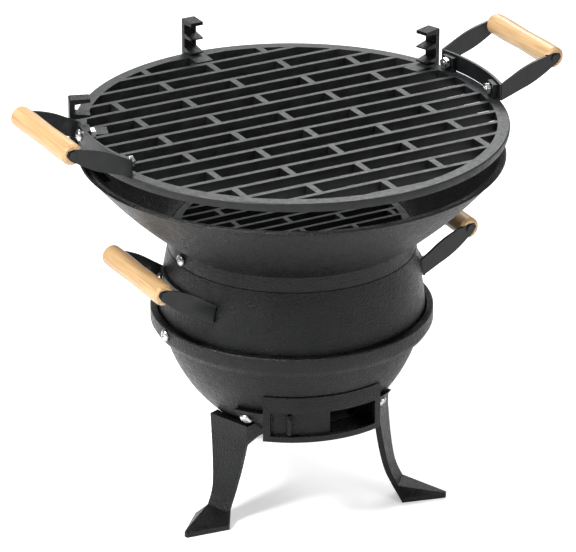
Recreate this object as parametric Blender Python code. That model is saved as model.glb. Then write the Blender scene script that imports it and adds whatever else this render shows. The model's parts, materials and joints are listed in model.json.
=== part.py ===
"""Portable tabletop charcoal grill: a three-legged cast-iron pot with a flared fire dish,
a height-adjustable cooking grate, a charcoal grate, a sliding air shutter and wooden grips.

Metres, +Z up. The origin is on the ground under the middle of the overall box. The carrying
handles lie along X and the grate is drawn out of its notched posts towards -Y.
"""

import math

import bmesh
import bpy
from mathutils import Matrix, Vector

# ---- driving dimensions (metres, degrees) ------------------------------------------------
GAP = 0.0003                # clearance between pieces that touch on the real grill

# turned castings
BOWL_BOTTOM_R = 0.058       # flat underside of the lower bowl
BOWL_BOTTOM_Z = 0.076
BOWL_MIDDLE_R = 0.0905      # a point half way up the bowl's curved wall
BOWL_MIDDLE_Z = 0.111
BOWL_TOP_R = 0.1075
BOWL_TOP_Z = 0.152
BOWL_WALL = 0.0045
COLLAR_R = 0.1176           # thick collar that the middle ring stands in
COLLAR_TOP_Z = 0.1695
COLLAR_BULGE = 0.006        # height of the collar's rounded lower edge
LEDGE_Z = 0.1560            # the middle ring stands on this ledge

RING_FOOT_R = 0.1120
RING_SHOULDER_R = 0.1028
RING_BELLY = 0.0012         # how far the ring's wall bulges from a straight cone
RING_SHOULDER_Z = 0.2220
RING_WALL = 0.0042
NECK_R = 0.0988
NECK_TOP_Z = 0.2336

SKIRT_WALL = 0.0034
SKIRT_TOP_Z = 0.2350
DISH_RIM_Z = 0.3055
DISH_WALL = 0.0042
DISH_HOLLOW = 0.0035        # how far the flared wall sags below a straight cone

# cooking grate
GRATE_R = 0.1775
DISH_RIM_R = GRATE_R - 0.0022   # the grate just covers the dish
GRATE_RING_WIDTH = 0.0100
GRATE_TOP_Z = 0.3310
GRATE_DEPTH = 0.0072
BAR_PITCH = 0.0209
BAR_TOP_WIDTH = 0.0038
BAR_FOOT_WIDTH = 0.0062
TIE_PITCH = 0.0555
TIE_WIDTH = 0.0052
PAD_WIDTH = 0.018           # solid webs beside the posts
PAD_REACH = 0.016

# charcoal grate
COAL_R = NECK_R
COAL_RING_WIDTH = 0.0070
COAL_DEPTH = 0.0060
COAL_BAR_PITCH = 0.0190
COAL_BAR_TOP_WIDTH = 0.0030
COAL_BAR_FOOT_WIDTH = 0.0042
COAL_TIE_PITCH = 0.0550
COAL_TIE_WIDTH = 0.0040

# notched posts
POST_WIDTH = 0.0115
POST_CLEARANCE = 0.0070     # between a side post and the arm of the handle beside it
POST_BACK = 0.0045          # thickness behind the notches
TOOTH_REACH = 0.0125
NOTCH_COUNT = 3
NOTCH_HEIGHT = 0.0080
TOOTH_HEIGHT = 0.0045
TOOTH_SLOPE = 0.0016
POST_SHELF = 0.0060         # depth of the shelf under the lowest notch
POST_FOOT = 0.0170          # how far the foot reaches down inside the dish
POST_FOOT_THICKNESS = 0.0060

# legs
LEG_AZIMUTHS = {"front_left": -160.0, "front_right": -40.0, "rear": 80.0}
LEG_THICKNESS = 0.0055
LEG_STATIONS = (            # height, radius of the outer face, half width
    (0.0880, 0.0790, 0.0205),
    (0.0740, 0.0790, 0.0195),
    (0.0470, 0.0825, 0.0150),
    (0.0260, 0.0870, 0.0115),
    (0.0120, 0.0935, 0.0110),
)
LEG_TAB_R = 0.040           # inner end of the bolted tab under the bowl
LEG_TAB_THICKNESS = 0.0055
LEG_BOLT_R = 0.0500
FOOT_HEEL_R = 0.0985
FOOT_HALF_WIDTH = 0.0180
FOOT_TIP_R = 0.1325
FOOT_TIP_HEIGHT = 0.0045

# air vent
VENT_AZIMUTH = -102.5
VENT_FACE_R = 0.1005
VENT_LOW_Z = 0.0870
VENT_FACE_TOP_Z = 0.1180
VENT_TOP_Z = 0.1270
VENT_HALF_ANGLE = 30.0
VENT_WALL = 0.0036
WINDOW_HALF_ANGLE = 26.5
WINDOW_LIP = 0.0050         # height of the face above and below the window
AIR_HOLE_ANGLES = (2.5, 24.0)
SHUTTER_R = 0.0947
SHUTTER_THICKNESS = 0.0024
SHUTTER_ANGLES = (-27.5, 2.5)
SHUTTER_KNOB_ANGLE = -17.5
SHUTTER_KNOB_REACH = 0.0065
SHUTTER_KNOB_WIDTH = 0.0032
SHUTTER_TRAVEL = 23.0
EAR_HALF_ANGLE = 47.0
EAR_THICKNESS = 0.0032
EAR_HALF_HEIGHT = 0.0065
VENT_SCREW_ANGLE = 42.0
VENT_SCREW_Z = 0.1010

# handles
GRIP_LENGTH = 0.0960
GRIP_R = 0.0092
GRIP_ROUND = 0.0022
ROD_R = 0.0020
STRAP_THICKNESS = 0.0024
STRAP_HEIGHT = 0.0140
ARM_OFFSET = GRIP_LENGTH / 2 - 0.0025        # inner face of each arm, let into the grip's end
STRAP_BOLT_OFFSET = ARM_OFFSET - 0.0105      # bolts either side of the handle's middle
ARM_THICKNESS = 0.0024
ARM_TIP_WIDTH = 0.0095
ARM_LEAF = 0.75             # how much wider the arm is half way along
GRATE_GRIP_R = 0.2220       # grip axis from the grill's axis
GRATE_GRIP_Z = GRATE_TOP_Z + 0.0290
GRATE_STRAP_Z = GRATE_TOP_Z + 0.0008
EAR_R_THICKNESS = 0.0042
BODY_GRIP_R = 0.1430
BODY_GRIP_Z = 0.2230
BODY_STRAP_Z = 0.1900

# fasteners
BOLT_R = 0.0025
BOLT_HEAD_R = 0.0050
BOLT_HEAD_HEIGHT = 0.0032
NUT_R = 0.0050
NUT_HEIGHT = 0.0038
NUT_STANDOFF = 0.0011       # keeps a flat nut's corners off a curved wall
HEAD_STANDOFF = 0.0007      # the same for a head on the flared wall

# The side posts stand just behind the handles.
POST_OFFSET = ARM_OFFSET + ARM_THICKNESS + POST_CLEARANCE + POST_WIDTH / 2
POST_SWING = math.degrees(math.asin(POST_OFFSET / GRATE_R))
POST_AZIMUTHS = {"left": 180 - POST_SWING, "rear": 90.0, "right": POST_SWING}

# mesh density
ARM_SHARES = (0.32, 0.5, 0.75)
TURN_STEPS = 36
ARC_STEPS = 4
GRIP_STEPS = 12
BOLT_STEPS = 8

# The rear post reaches past the rim, so the grill's axis lies a little in front of the origin.
POST_OUTER_R = GRATE_R + 2 * GAP + POST_BACK
AXIS_Y = -(POST_OUTER_R - GRATE_R) / 2


# ---- materials ---------------------------------------------------------------------------
def make_material(name, colour, roughness, metallic):
    material = bpy.data.materials.new(name)
    material.use_nodes = True
    shader = material.node_tree.nodes["Principled BSDF"]
    shader.inputs["Base Color"].default_value = (*colour, 1.0)
    shader.inputs["Roughness"].default_value = roughness
    shader.inputs["Metallic"].default_value = metallic
    return material


# ---- mesh tools --------------------------------------------------------------------------
def tidy(bm):
    bmesh.ops.remove_doubles(bm, verts=bm.verts, dist=1e-6)
    bmesh.ops.dissolve_degenerate(bm, edges=bm.edges, dist=1e-6)
    bmesh.ops.recalc_face_normals(bm, faces=bm.faces)
    return bm


def lathe(profile, steps=TURN_STEPS, low=0.0, high=360.0):
    """Turns a closed outline of (radius, height) points about Z, all round or through a sector."""
    bm = bmesh.new()
    full = high - low >= 360.0
    columns = []
    poles = {}
    for step in range(steps if full else steps + 1):
        angle = math.radians(low + (high - low) * step / steps)
        column = []
        for index, (radius, height) in enumerate(profile):
            if radius > 0:
                column.append(bm.verts.new((radius * math.cos(angle), radius * math.sin(angle), height)))
                continue
            if index not in poles:
                poles[index] = bm.verts.new((0, 0, height))
            column.append(poles[index])
        columns.append(column)
    for step in range(steps):
        here = columns[step]
        there = columns[(step + 1) % len(columns)]
        for index in range(len(profile)):
            following = (index + 1) % len(profile)
            corners = [here[index], there[index], there[following], here[following]]
            corners = list(dict.fromkeys(corners))
            if len(corners) > 2:
                bm.faces.new(corners)
    if not full:
        bm.faces.new(columns[0])
        bm.faces.new(list(reversed(columns[-1])))
    bmesh.ops.recalc_face_normals(bm, faces=bm.faces)
    return bm


def plate(outline, low, high):
    """A flat plate: an outline of (x, z) points in the XZ plane, thick along Y from low to high."""
    bm = bmesh.new()
    near = [bm.verts.new((x, low, z)) for x, z in outline]
    far = [bm.verts.new((x, high, z)) for x, z in outline]
    bm.faces.new(near)
    bm.faces.new(list(reversed(far)))
    for index in range(len(outline)):
        following = (index + 1) % len(outline)
        bm.faces.new((near[index], near[following], far[following], far[index]))
    bmesh.ops.recalc_face_normals(bm, faces=bm.faces)
    return bm


def hull(points):
    bm = bmesh.new()
    for point in points:
        bm.verts.new(point)
    found = bmesh.ops.convex_hull(bm, input=bm.verts)
    loose = [item for item in found["geom_interior"] if isinstance(item, bmesh.types.BMVert)]
    bmesh.ops.delete(bm, geom=loose, context="VERTS")
    return tidy(bm)


def merged(parts):
    """Joins meshes that don't touch into one mesh."""
    whole = bmesh.new()
    for part in parts:
        mesh = bpy.data.meshes.new("part")
        part.to_mesh(mesh)
        part.free()
        whole.from_mesh(mesh)
        bpy.data.meshes.remove(mesh)
    return whole


def boolean(body, tool, operation):
    """Union, difference or intersection of two meshes. Both are used up."""
    objects = []
    for bm in (body, tool):
        mesh = bpy.data.meshes.new("boolean")
        bm.to_mesh(mesh)
        bm.free()
        item = bpy.data.objects.new("boolean", mesh)
        bpy.context.collection.objects.link(item)
        objects.append(item)
    modifier = objects[0].modifiers.new("boolean", "BOOLEAN")
    modifier.operation = operation
    modifier.object = objects[1]
    evaluated = objects[0].evaluated_get(bpy.context.evaluated_depsgraph_get())
    result = bmesh.new()
    result.from_mesh(evaluated.to_mesh())
    evaluated.to_mesh_clear()
    for item in objects:
        mesh = item.data
        bpy.data.objects.remove(item)
        bpy.data.meshes.remove(mesh)
    return tidy(result)


def turned(bm, azimuth):
    bmesh.ops.rotate(bm, verts=bm.verts, matrix=Matrix.Rotation(math.radians(azimuth), 3, "Z"))
    return bm


def aimed(bm, origin, direction):
    """Moves a mesh that was made along +Z so that it starts at origin and points along direction."""
    turn = Vector((0, 0, 1)).rotation_difference(Vector(direction)).to_matrix().to_4x4()
    bmesh.ops.transform(bm, verts=bm.verts, matrix=Matrix.Translation(origin) @ turn)
    return bm


def arc(start, middle, end, steps=ARC_STEPS):
    """Points on the circle through three (radius, height) points, from start to end."""
    (ax, ay), (bx, by), (cx, cy) = start, middle, end
    scale = 2 * (ax * (by - cy) + bx * (cy - ay) + cx * (ay - by))
    a2, b2, c2 = ax * ax + ay * ay, bx * bx + by * by, cx * cx + cy * cy
    ux = (a2 * (by - cy) + b2 * (cy - ay) + c2 * (ay - by)) / scale
    uy = (a2 * (cx - bx) + b2 * (ax - cx) + c2 * (bx - ax)) / scale
    radius = math.hypot(ax - ux, ay - uy)
    first = math.atan2(ay - uy, ax - ux)
    sweep = math.atan2(cy - uy, cx - ux) - first
    sweep = (sweep + math.pi) % (2 * math.pi) - math.pi
    angles = [first + sweep * step / steps for step in range(steps + 1)]
    return [(ux + radius * math.cos(angle), uy + radius * math.sin(angle)) for angle in angles]


def bowed(start, end, bow, steps=ARC_STEPS):
    """An arc from start to end that leaves the straight line by bow, to the right of travel."""
    dx, dz = end[0] - start[0], end[1] - start[1]
    length = math.hypot(dx, dz)
    middle = ((start[0] + end[0]) / 2 + bow * dz / length, (start[1] + end[1]) / 2 - bow * dx / length)
    return arc(start, middle, end, steps)


def offset(points, distance):
    """Moves a run of (radius, height) points sideways: positive is to the right of travel."""
    moved = []
    for index, (radius, height) in enumerate(points):
        before = points[max(index - 1, 0)]
        after = points[min(index + 1, len(points) - 1)]
        dx, dz = after[0] - before[0], after[1] - before[1]
        length = math.hypot(dx, dz)
        moved.append((radius + distance * dz / length, height - distance * dx / length))
    return moved


def radius_at(points, height):
    """Radius of a rising run of (radius, height) points at a height."""
    for (r0, z0), (r1, z1) in zip(points, points[1:]):
        if z0 <= height <= z1:
            return r0 + (r1 - r0) * (height - z0) / (z1 - z0)
    return points[-1][0] if height > points[-1][1] else points[0][0]


# ---- outer curves of the turned castings -------------------------------------------------
BOWL_CURVE = arc((BOWL_BOTTOM_R, BOWL_BOTTOM_Z), (BOWL_MIDDLE_R, BOWL_MIDDLE_Z), (BOWL_TOP_R, BOWL_TOP_Z), 5)
RING_CURVE = bowed((RING_FOOT_R, LEDGE_Z + GAP), (RING_SHOULDER_R, RING_SHOULDER_Z - GAP), RING_BELLY, 3)
SKIRT_R = NECK_R + GAP + SKIRT_WALL
DISH_CURVE = bowed((SKIRT_R, SKIRT_TOP_Z), (DISH_RIM_R, DISH_RIM_Z), DISH_HOLLOW)
DISH_INSIDE = offset(DISH_CURVE, -DISH_WALL)


def lower_bowl():
    collar_inside = RING_FOOT_R + GAP
    inside = [point for point in offset(BOWL_CURVE, -BOWL_WALL)]
    inside[0] = (BOWL_BOTTOM_R - BOWL_WALL / 2, BOWL_BOTTOM_Z + BOWL_WALL)
    inside[-1] = (inside[-1][0], LEDGE_Z)
    profile = [(0, BOWL_BOTTOM_Z)] + BOWL_CURVE
    profile += [(COLLAR_R - COLLAR_BULGE / 2, BOWL_TOP_Z + 0.001), (COLLAR_R, BOWL_TOP_Z + COLLAR_BULGE)]
    profile += [(COLLAR_R, COLLAR_TOP_Z - 0.001), (COLLAR_R - 0.001, COLLAR_TOP_Z)]
    profile += [(collar_inside, COLLAR_TOP_Z), (collar_inside, LEDGE_Z)]
    profile += list(reversed(inside)) + [(0, BOWL_BOTTOM_Z + BOWL_WALL)]
    bowl = lathe(profile)
    low, high = AIR_HOLE_ANGLES
    hole = [(BOWL_BOTTOM_R, VENT_LOW_Z + WINDOW_LIP), (COLLAR_R, VENT_LOW_Z + WINDOW_LIP),
            (COLLAR_R, VENT_FACE_TOP_Z - WINDOW_LIP), (BOWL_BOTTOM_R, VENT_FACE_TOP_Z - WINDOW_LIP)]
    bowl = boolean(bowl, lathe(hole, 4, VENT_AZIMUTH + low, VENT_AZIMUTH + high), "DIFFERENCE")
    holes = [hole_tool(*place) for place in vent_bolt_places() + collar_bolt_places() + leg_bolt_places()]
    return boolean(bowl, merged(holes), "DIFFERENCE")


def middle_ring():
    inside = offset(RING_CURVE, -RING_WALL)
    neck_inside = NECK_R - RING_WALL
    inside[-1] = (neck_inside, inside[-1][1])
    profile = RING_CURVE + [(NECK_R, RING_SHOULDER_Z - GAP), (NECK_R, NECK_TOP_Z), (neck_inside, NECK_TOP_Z)]
    profile += list(reversed(inside))
    profile[-1] = (profile[-1][0], LEDGE_Z + GAP)
    ring = lathe(profile)
    holes = [hole_tool(*place) for place in neck_bolt_places() + collar_bolt_places()]
    holes += [hole_tool(*place) for azimuth in (0, 180) for place in strap_bolt_places(azimuth, body_strap())]
    return boolean(ring, merged(holes), "DIFFERENCE")


def upper_dish():
    skirt_inside = NECK_R + GAP
    profile = [(SKIRT_R, RING_SHOULDER_Z)] + DISH_CURVE[:-1]
    profile += [(DISH_RIM_R, DISH_RIM_Z - 0.0015), (DISH_RIM_R - 0.001, DISH_RIM_Z)]
    profile += [(DISH_RIM_R - DISH_WALL, DISH_RIM_Z), DISH_INSIDE[-2]]
    profile += [point for point in reversed(DISH_INSIDE[1:-2])]
    profile += [(skirt_inside, SKIRT_TOP_Z + DISH_WALL), (skirt_inside, RING_SHOULDER_Z)]
    dish = lathe(profile)
    holes = [hole_tool(*place) for place in neck_bolt_places() + post_bolt_places()]
    return boolean(dish, merged(holes), "DIFFERENCE")


# ---- fasteners ---------------------------------------------------------------------------
# A bolt's place is its seat under the head, the direction out of the head, and its grip length.
def hole_tool(seat, outward, grip):
    radius = BOLT_R + GAP
    reach = 0.002
    profile = [(0, -grip - reach), (radius, -grip - reach), (radius, reach), (0, reach)]
    return aimed(lathe(profile, BOLT_STEPS), seat, outward)


def bolt(seat, outward, grip, tapped=False):
    length = grip if tapped else grip + NUT_STANDOFF + NUT_HEIGHT + 0.001
    profile = [(0, -length), (BOLT_R, -length), (BOLT_R, GAP), (BOLT_HEAD_R, GAP)]
    profile += [(BOLT_HEAD_R, GAP + BOLT_HEAD_HEIGHT * 0.4), (BOLT_HEAD_R * 0.62, GAP + BOLT_HEAD_HEIGHT * 0.9)]
    profile += [(0, GAP + BOLT_HEAD_HEIGHT)]
    return aimed(lathe(profile, BOLT_STEPS), seat, outward)


def nut(seat, outward, grip):
    bottom = -grip - NUT_STANDOFF - NUT_HEIGHT
    inside = (BOLT_R + GAP) / math.cos(math.radians(30))
    profile = [(inside, bottom), (NUT_R, bottom), (NUT_R, bottom + NUT_HEIGHT), (inside, bottom + NUT_HEIGHT)]
    return aimed(lathe(profile, 6), seat, outward)


def radial(azimuth, radius, height):
    angle = math.radians(azimuth)
    return Vector((radius * math.cos(angle), radius * math.sin(angle), height))


def wall_place(azimuth, outer_curve, height, thickness, extra=0.0):
    """A bolt square to a turned wall, with its head outside, extra beyond the wall's face."""
    step = BOLT_HEAD_R
    rise = radius_at(outer_curve, height + step) - radius_at(outer_curve, height - step)
    normal = Vector((2 * step, 0, -rise)).normalized()
    seat = Vector((radius_at(outer_curve, height), 0, height)) + normal * extra
    turn = Matrix.Rotation(math.radians(azimuth), 3, "Z")
    return turn @ seat, turn @ normal, thickness + extra


def neck_bolt_places():
    height = (RING_SHOULDER_Z + NECK_TOP_Z) / 2
    grip = SKIRT_WALL + GAP + RING_WALL
    return [(radial(azimuth, SKIRT_R, height), radial(azimuth, 1, 0), grip) for azimuth in (0, 180)]


def collar_bolt_places():
    height = (BOWL_TOP_Z + COLLAR_BULGE + COLLAR_TOP_Z) / 2
    grip = COLLAR_R - radius_at(RING_CURVE, height) + RING_WALL
    return [(radial(azimuth, COLLAR_R, height), radial(azimuth, 1, 0), grip) for azimuth in (0, 180)]


def vent_bolt_places():
    return [wall_place(VENT_AZIMUTH + side * VENT_SCREW_ANGLE, BOWL_CURVE, VENT_SCREW_Z, BOWL_WALL,
                       GAP + EAR_THICKNESS) for side in (-1, 1)]


def leg_bolt_places():
    grip = BOWL_WALL + GAP + LEG_TAB_THICKNESS
    bottom = BOWL_BOTTOM_Z - GAP - LEG_TAB_THICKNESS
    return [(radial(azimuth, LEG_BOLT_R, bottom), Vector((0, 0, -1)), grip) for azimuth in LEG_AZIMUTHS.values()]


def post_bolt_height():
    return DISH_RIM_Z - POST_FOOT * 0.62


def post_bolt_places():
    return [post_bolt_place(azimuth) for azimuth in POST_AZIMUTHS.values()]


def post_bolt_place(azimuth):
    seat, normal, grip = wall_place(azimuth, DISH_CURVE, post_bolt_height(), DISH_WALL, HEAD_STANDOFF)
    return seat, normal, grip + GAP + POST_FOOT_THICKNESS


# ---- legs --------------------------------------------------------------------------------
def leg(azimuth):
    blocks = []
    for (z0, r0, w0), (z1, r1, w1) in zip(LEG_STATIONS, LEG_STATIONS[1:]):
        corners = []
        for height, radius, width in ((z0, r0, w0), (z1, r1, w1)):
            for side in (-1, 1):
                corners += [(radius, side * width, height), (radius - LEG_THICKNESS, side * width * 0.9, height)]
        blocks.append(corners)
    height, radius, width = LEG_STATIONS[-1]
    foot = [(FOOT_TIP_R, y, z) for y in (-0.0015, 0.0015) for z in (0, FOOT_TIP_HEIGHT)]
    for side in (-1, 1):
        foot += [(FOOT_HEEL_R, side * FOOT_HALF_WIDTH, 0)]
        foot += [(FOOT_HEEL_R + 0.002, side * FOOT_HALF_WIDTH, FOOT_TIP_HEIGHT)]
        foot += [(radius, side * width, height), (radius - LEG_THICKNESS, side * width * 0.9, height)]
    blocks.append(foot)
    top = BOWL_BOTTOM_Z + GAP
    tab_low = BOWL_BOTTOM_Z - GAP - LEG_TAB_THICKNESS
    tab = []
    for reach, width in ((LEG_TAB_R, 0.010), (LEG_STATIONS[1][1], LEG_STATIONS[1][2])):
        tab += [(reach, side * width, level) for side in (-1, 1) for level in (tab_low, top)]
    blocks.append(tab)
    head = []
    for height, radius, width in LEG_STATIONS[:2]:
        head += [(reach, side * width, height) for side in (-1, 1) for reach in (radius, BOWL_BOTTOM_R)]
    blocks.append(head)
    whole = hull(blocks[0])
    for block in blocks[1:]:
        whole = boolean(whole, hull(block), "UNION")
    room = [(0, BOWL_BOTTOM_Z - GAP), (BOWL_BOTTOM_R, BOWL_BOTTOM_Z - GAP)]
    room += offset(BOWL_CURVE, GAP)[1:] + [(0, BOWL_TOP_Z)]
    whole = boolean(whole, lathe(room), "DIFFERENCE")
    place = (Vector((LEG_BOLT_R, 0, tab_low)), Vector((0, 0, -1)), LEG_TAB_THICKNESS)
    return turned(boolean(whole, hole_tool(*place), "DIFFERENCE"), azimuth)


# ---- air vent ----------------------------------------------------------------------------
def sector(outline, half_angle, steps=8, centre=0.0):
    return lathe(outline, steps, VENT_AZIMUTH + centre - half_angle, VENT_AZIMUTH + centre + half_angle)


def box_outline(r0, r1, z0, z1):
    return [(r0, z0), (r1, z0), (r1, z1), (r0, z1)]


def vent_housing():
    inner = BOWL_BOTTOM_R
    outline = [(inner, VENT_LOW_Z), (VENT_FACE_R, VENT_LOW_Z), (VENT_FACE_R, VENT_FACE_TOP_Z)]
    outline += [(radius_at(BOWL_CURVE, VENT_TOP_Z) + 0.001, VENT_TOP_Z), (inner, VENT_TOP_Z)]
    housing = sector(outline, VENT_HALF_ANGLE, 12)
    ear = [point for point in offset(BOWL_CURVE, GAP + EAR_THICKNESS)
           if abs(point[1] - VENT_SCREW_Z) < EAR_HALF_HEIGHT]
    ear_low, ear_high = VENT_SCREW_Z - EAR_HALF_HEIGHT, VENT_SCREW_Z + EAR_HALF_HEIGHT
    skin = offset(BOWL_CURVE, GAP + EAR_THICKNESS)
    inside = inner + EAR_THICKNESS
    ear = [(inside, ear_low), (radius_at(skin, ear_low), ear_low)] + ear
    ear += [(radius_at(skin, ear_high), ear_high), (inside, ear_high)]
    housing = boolean(housing, sector(ear, EAR_HALF_ANGLE, 18), "UNION")
    low, high = VENT_LOW_Z + VENT_WALL, VENT_FACE_TOP_Z - VENT_WALL
    track_back, track_front = SHUTTER_R - GAP, SHUTTER_R + SHUTTER_THICKNESS + GAP
    window = box_outline(track_front - GAP, VENT_FACE_R + 0.01, VENT_LOW_Z + WINDOW_LIP, VENT_FACE_TOP_Z - WINDOW_LIP)
    housing = boolean(housing, sector(window, WINDOW_HALF_ANGLE, 12), "DIFFERENCE")
    housing = boolean(housing, sector(box_outline(track_back, track_front, low - 0.0018, high + 0.0018),
                                      VENT_HALF_ANGLE - 2.0, 12), "DIFFERENCE")
    housing = boolean(housing, sector(box_outline(inner - 0.01, track_back + GAP, low, high),
                                      VENT_HALF_ANGLE - 3.5, 12), "DIFFERENCE")
    room = [(0, BOWL_BOTTOM_Z - 0.02), (BOWL_BOTTOM_R + GAP, BOWL_BOTTOM_Z - 0.02)]
    room += offset(BOWL_CURVE, GAP)[1:] + [(0, BOWL_TOP_Z)]
    housing = boolean(housing, lathe(room), "DIFFERENCE")
    return boolean(housing, merged([hole_tool(*place) for place in vent_bolt_places()]), "DIFFERENCE")


def vent_shutter():
    low, high = VENT_LOW_Z + VENT_WALL - 0.0018 + GAP, VENT_FACE_TOP_Z - VENT_WALL + 0.0018 - GAP
    front = SHUTTER_R + SHUTTER_THICKNESS
    first, last = SHUTTER_ANGLES
    shutter = lathe(box_outline(SHUTTER_R, front, low, high), 6, VENT_AZIMUTH + first, VENT_AZIMUTH + last)
    half = SHUTTER_KNOB_WIDTH / 2
    knob_low, knob_high = VENT_LOW_Z + WINDOW_LIP + 0.001, VENT_FACE_TOP_Z - WINDOW_LIP - 0.001
    outline = [(front - 0.001, knob_low), (front + SHUTTER_KNOB_REACH, knob_low + 0.002),
               (front + SHUTTER_KNOB_REACH, knob_high - 0.004), (front - 0.001, knob_high)]
    knob = turned(plate(outline, -half, half), VENT_AZIMUTH + SHUTTER_KNOB_ANGLE)
    return boolean(shutter, knob, "UNION")


# ---- grates ------------------------------------------------------------------------------
def slots(radius, pitch, top_width, foot_width, tie_pitch, tie_width, low, high):
    """Tapered slots of a grate with bars along X: rows between bars, split by ties like bricks."""
    rows = int(radius / pitch) + 1
    columns = int(radius / tie_pitch) + 2
    parts = []
    taper = (foot_width - top_width) / 2
    for row in range(-rows, rows + 1):
        for column in range(-columns, columns + 1):
            if (row + column) % 2:
                continue
            x0, x1 = column * tie_pitch + tie_width / 2, (column + 2) * tie_pitch - tie_width / 2
            y0, y1 = row * pitch + top_width / 2, (row + 1) * pitch - top_width / 2
            near_x = min(abs(x0), abs(x1)) if x0 * x1 > 0 else 0
            near_y = min(abs(y0), abs(y1)) if y0 * y1 > 0 else 0
            if math.hypot(near_x, near_y) > radius - pitch / 5:
                continue
            corners = [(x, y, high) for x in (x0, x1) for y in (y0, y1)]
            corners += [(x, y, low) for x in (x0 + taper, x1 - taper) for y in (y0 + taper, y1 - taper)]
            parts.append(hull(corners))
    return merged(parts)


def grate(radius, ring_width, top, depth, keep, **pattern):
    """A round grate: a disc with slots cut through it, and the keep solids left whole."""
    reach = 0.002
    cutter = slots(radius - ring_width, low=top - depth - reach, high=top + reach, **pattern)
    inner = radius - ring_width
    limit = lathe([(0, top - depth - reach), (inner - 0.001, top - depth - reach),
                   (inner, top + reach), (0, top + reach)])
    cutter = boolean(cutter, limit, "INTERSECT")
    for solid in keep:
        cutter = boolean(cutter, solid, "DIFFERENCE")
    disc = lathe([(0, top - depth), (radius - 0.001, top - depth), (radius, top - depth * 0.5),
                  (radius, top - 0.0008), (radius - 0.0008, top), (0, top)])
    return boolean(disc, cutter, "DIFFERENCE")


def cooking_grate():
    low, high = GRATE_TOP_Z - GRATE_DEPTH - 0.004, GRATE_TOP_Z + 0.004
    pads = []
    for azimuth in POST_AZIMUTHS.values():
        inner = GRATE_R - GRATE_RING_WIDTH - PAD_REACH
        half = math.degrees(PAD_WIDTH / 2 / GRATE_R)
        pads.append(lathe(box_outline(inner, GRATE_R, low, high), 2, azimuth - half, azimuth + half))
    whole = grate(GRATE_R, GRATE_RING_WIDTH, GRATE_TOP_Z, GRATE_DEPTH, pads, pitch=BAR_PITCH,
                  top_width=BAR_TOP_WIDTH, foot_width=BAR_FOOT_WIDTH, tie_pitch=TIE_PITCH, tie_width=TIE_WIDTH)
    strap = grate_strap()
    for azimuth in (0, 180):
        for seat, _, _ in strap_bolt_places(azimuth, strap):
            middle = math.degrees(math.atan2(seat.y, seat.x))
            half = math.degrees(BOLT_HEAD_R * 1.3 / GRATE_R)
            outer = strap["curve"][0][0] - GAP
            ear = [(outer - EAR_R_THICKNESS, GRATE_TOP_Z - 0.002), (outer, GRATE_TOP_Z - 0.002),
                   (outer, seat.z + BOLT_HEAD_R), (outer - EAR_R_THICKNESS, seat.z + BOLT_HEAD_R)]
            whole = boolean(whole, lathe(ear, 2, middle - half, middle + half), "UNION")
    holes = [hole_tool(*place) for azimuth in (0, 180) for place in strap_bolt_places(azimuth, strap)]
    return boolean(whole, merged(holes), "DIFFERENCE")


def charcoal_grate():
    top = NECK_TOP_Z + GAP + COAL_DEPTH
    return grate(COAL_R, COAL_RING_WIDTH, top, COAL_DEPTH, [], pitch=COAL_BAR_PITCH,
                 top_width=COAL_BAR_TOP_WIDTH, foot_width=COAL_BAR_FOOT_WIDTH,
                 tie_pitch=COAL_TIE_PITCH, tie_width=COAL_TIE_WIDTH)


# ---- notched posts -----------------------------------------------------------------------
def post(azimuth):
    outer = POST_OUTER_R
    root = outer - POST_BACK
    tip = root - TOOTH_REACH
    shelf = GRATE_TOP_Z - GRATE_DEPTH - GAP
    foot_low = DISH_RIM_Z - POST_FOOT
    outline = [(outer, DISH_RIM_Z + GAP), (outer, shelf + NOTCH_COUNT * (NOTCH_HEIGHT + TOOTH_HEIGHT) - 0.001)]
    outline += [(outer - 0.001, shelf + NOTCH_COUNT * (NOTCH_HEIGHT + TOOTH_HEIGHT))]
    for level in reversed(range(NOTCH_COUNT)):
        floor = shelf + level * (NOTCH_HEIGHT + TOOTH_HEIGHT)
        top = floor + NOTCH_HEIGHT + TOOTH_HEIGHT
        drop = 0 if level == NOTCH_COUNT - 1 else TOOTH_SLOPE
        outline += [(tip, top - drop), (tip, floor + NOTCH_HEIGHT + TOOTH_SLOPE), (root, floor + NOTCH_HEIGHT)]
        outline += [(root, floor)]
    outline += [(tip, shelf), (tip, shelf - POST_SHELF)]
    slope = radius_at(DISH_INSIDE, foot_low) - POST_FOOT_THICKNESS
    outline += [(radius_at(DISH_INSIDE, DISH_RIM_Z - 0.004) - POST_FOOT_THICKNESS, DISH_RIM_Z - 0.004)]
    outline += [(slope, foot_low), (radius_at(DISH_CURVE, foot_low), foot_low)]
    outline += [(radius_at(DISH_CURVE, DISH_RIM_Z - 0.004), DISH_RIM_Z - 0.004), (DISH_RIM_R, DISH_RIM_Z + GAP)]
    body = plate(outline, -POST_WIDTH / 2, POST_WIDTH / 2)
    room = [(SKIRT_R, RING_SHOULDER_Z)] + offset(DISH_CURVE, 0.012)
    room[-1] = (POST_OUTER_R + 0.002, DISH_RIM_Z + GAP)
    room += [(DISH_RIM_R - DISH_WALL - GAP, DISH_RIM_Z + GAP)] + list(reversed(offset(DISH_INSIDE, -GAP)[:-1]))
    body = boolean(body, lathe(room), "DIFFERENCE")
    seat, normal, grip = post_bolt_place(0)
    return turned(boolean(body, hole_tool(seat, normal, grip), "DIFFERENCE"), azimuth)


# ---- handles -----------------------------------------------------------------------------
def grate_strap():
    radius = GRATE_R - 0.0015
    return {"curve": [(radius, GRATE_STRAP_Z), (radius, GRATE_STRAP_Z + STRAP_HEIGHT)],
            "grip": (GRATE_GRIP_R, GRATE_GRIP_Z), "wall": EAR_R_THICKNESS}


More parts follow.
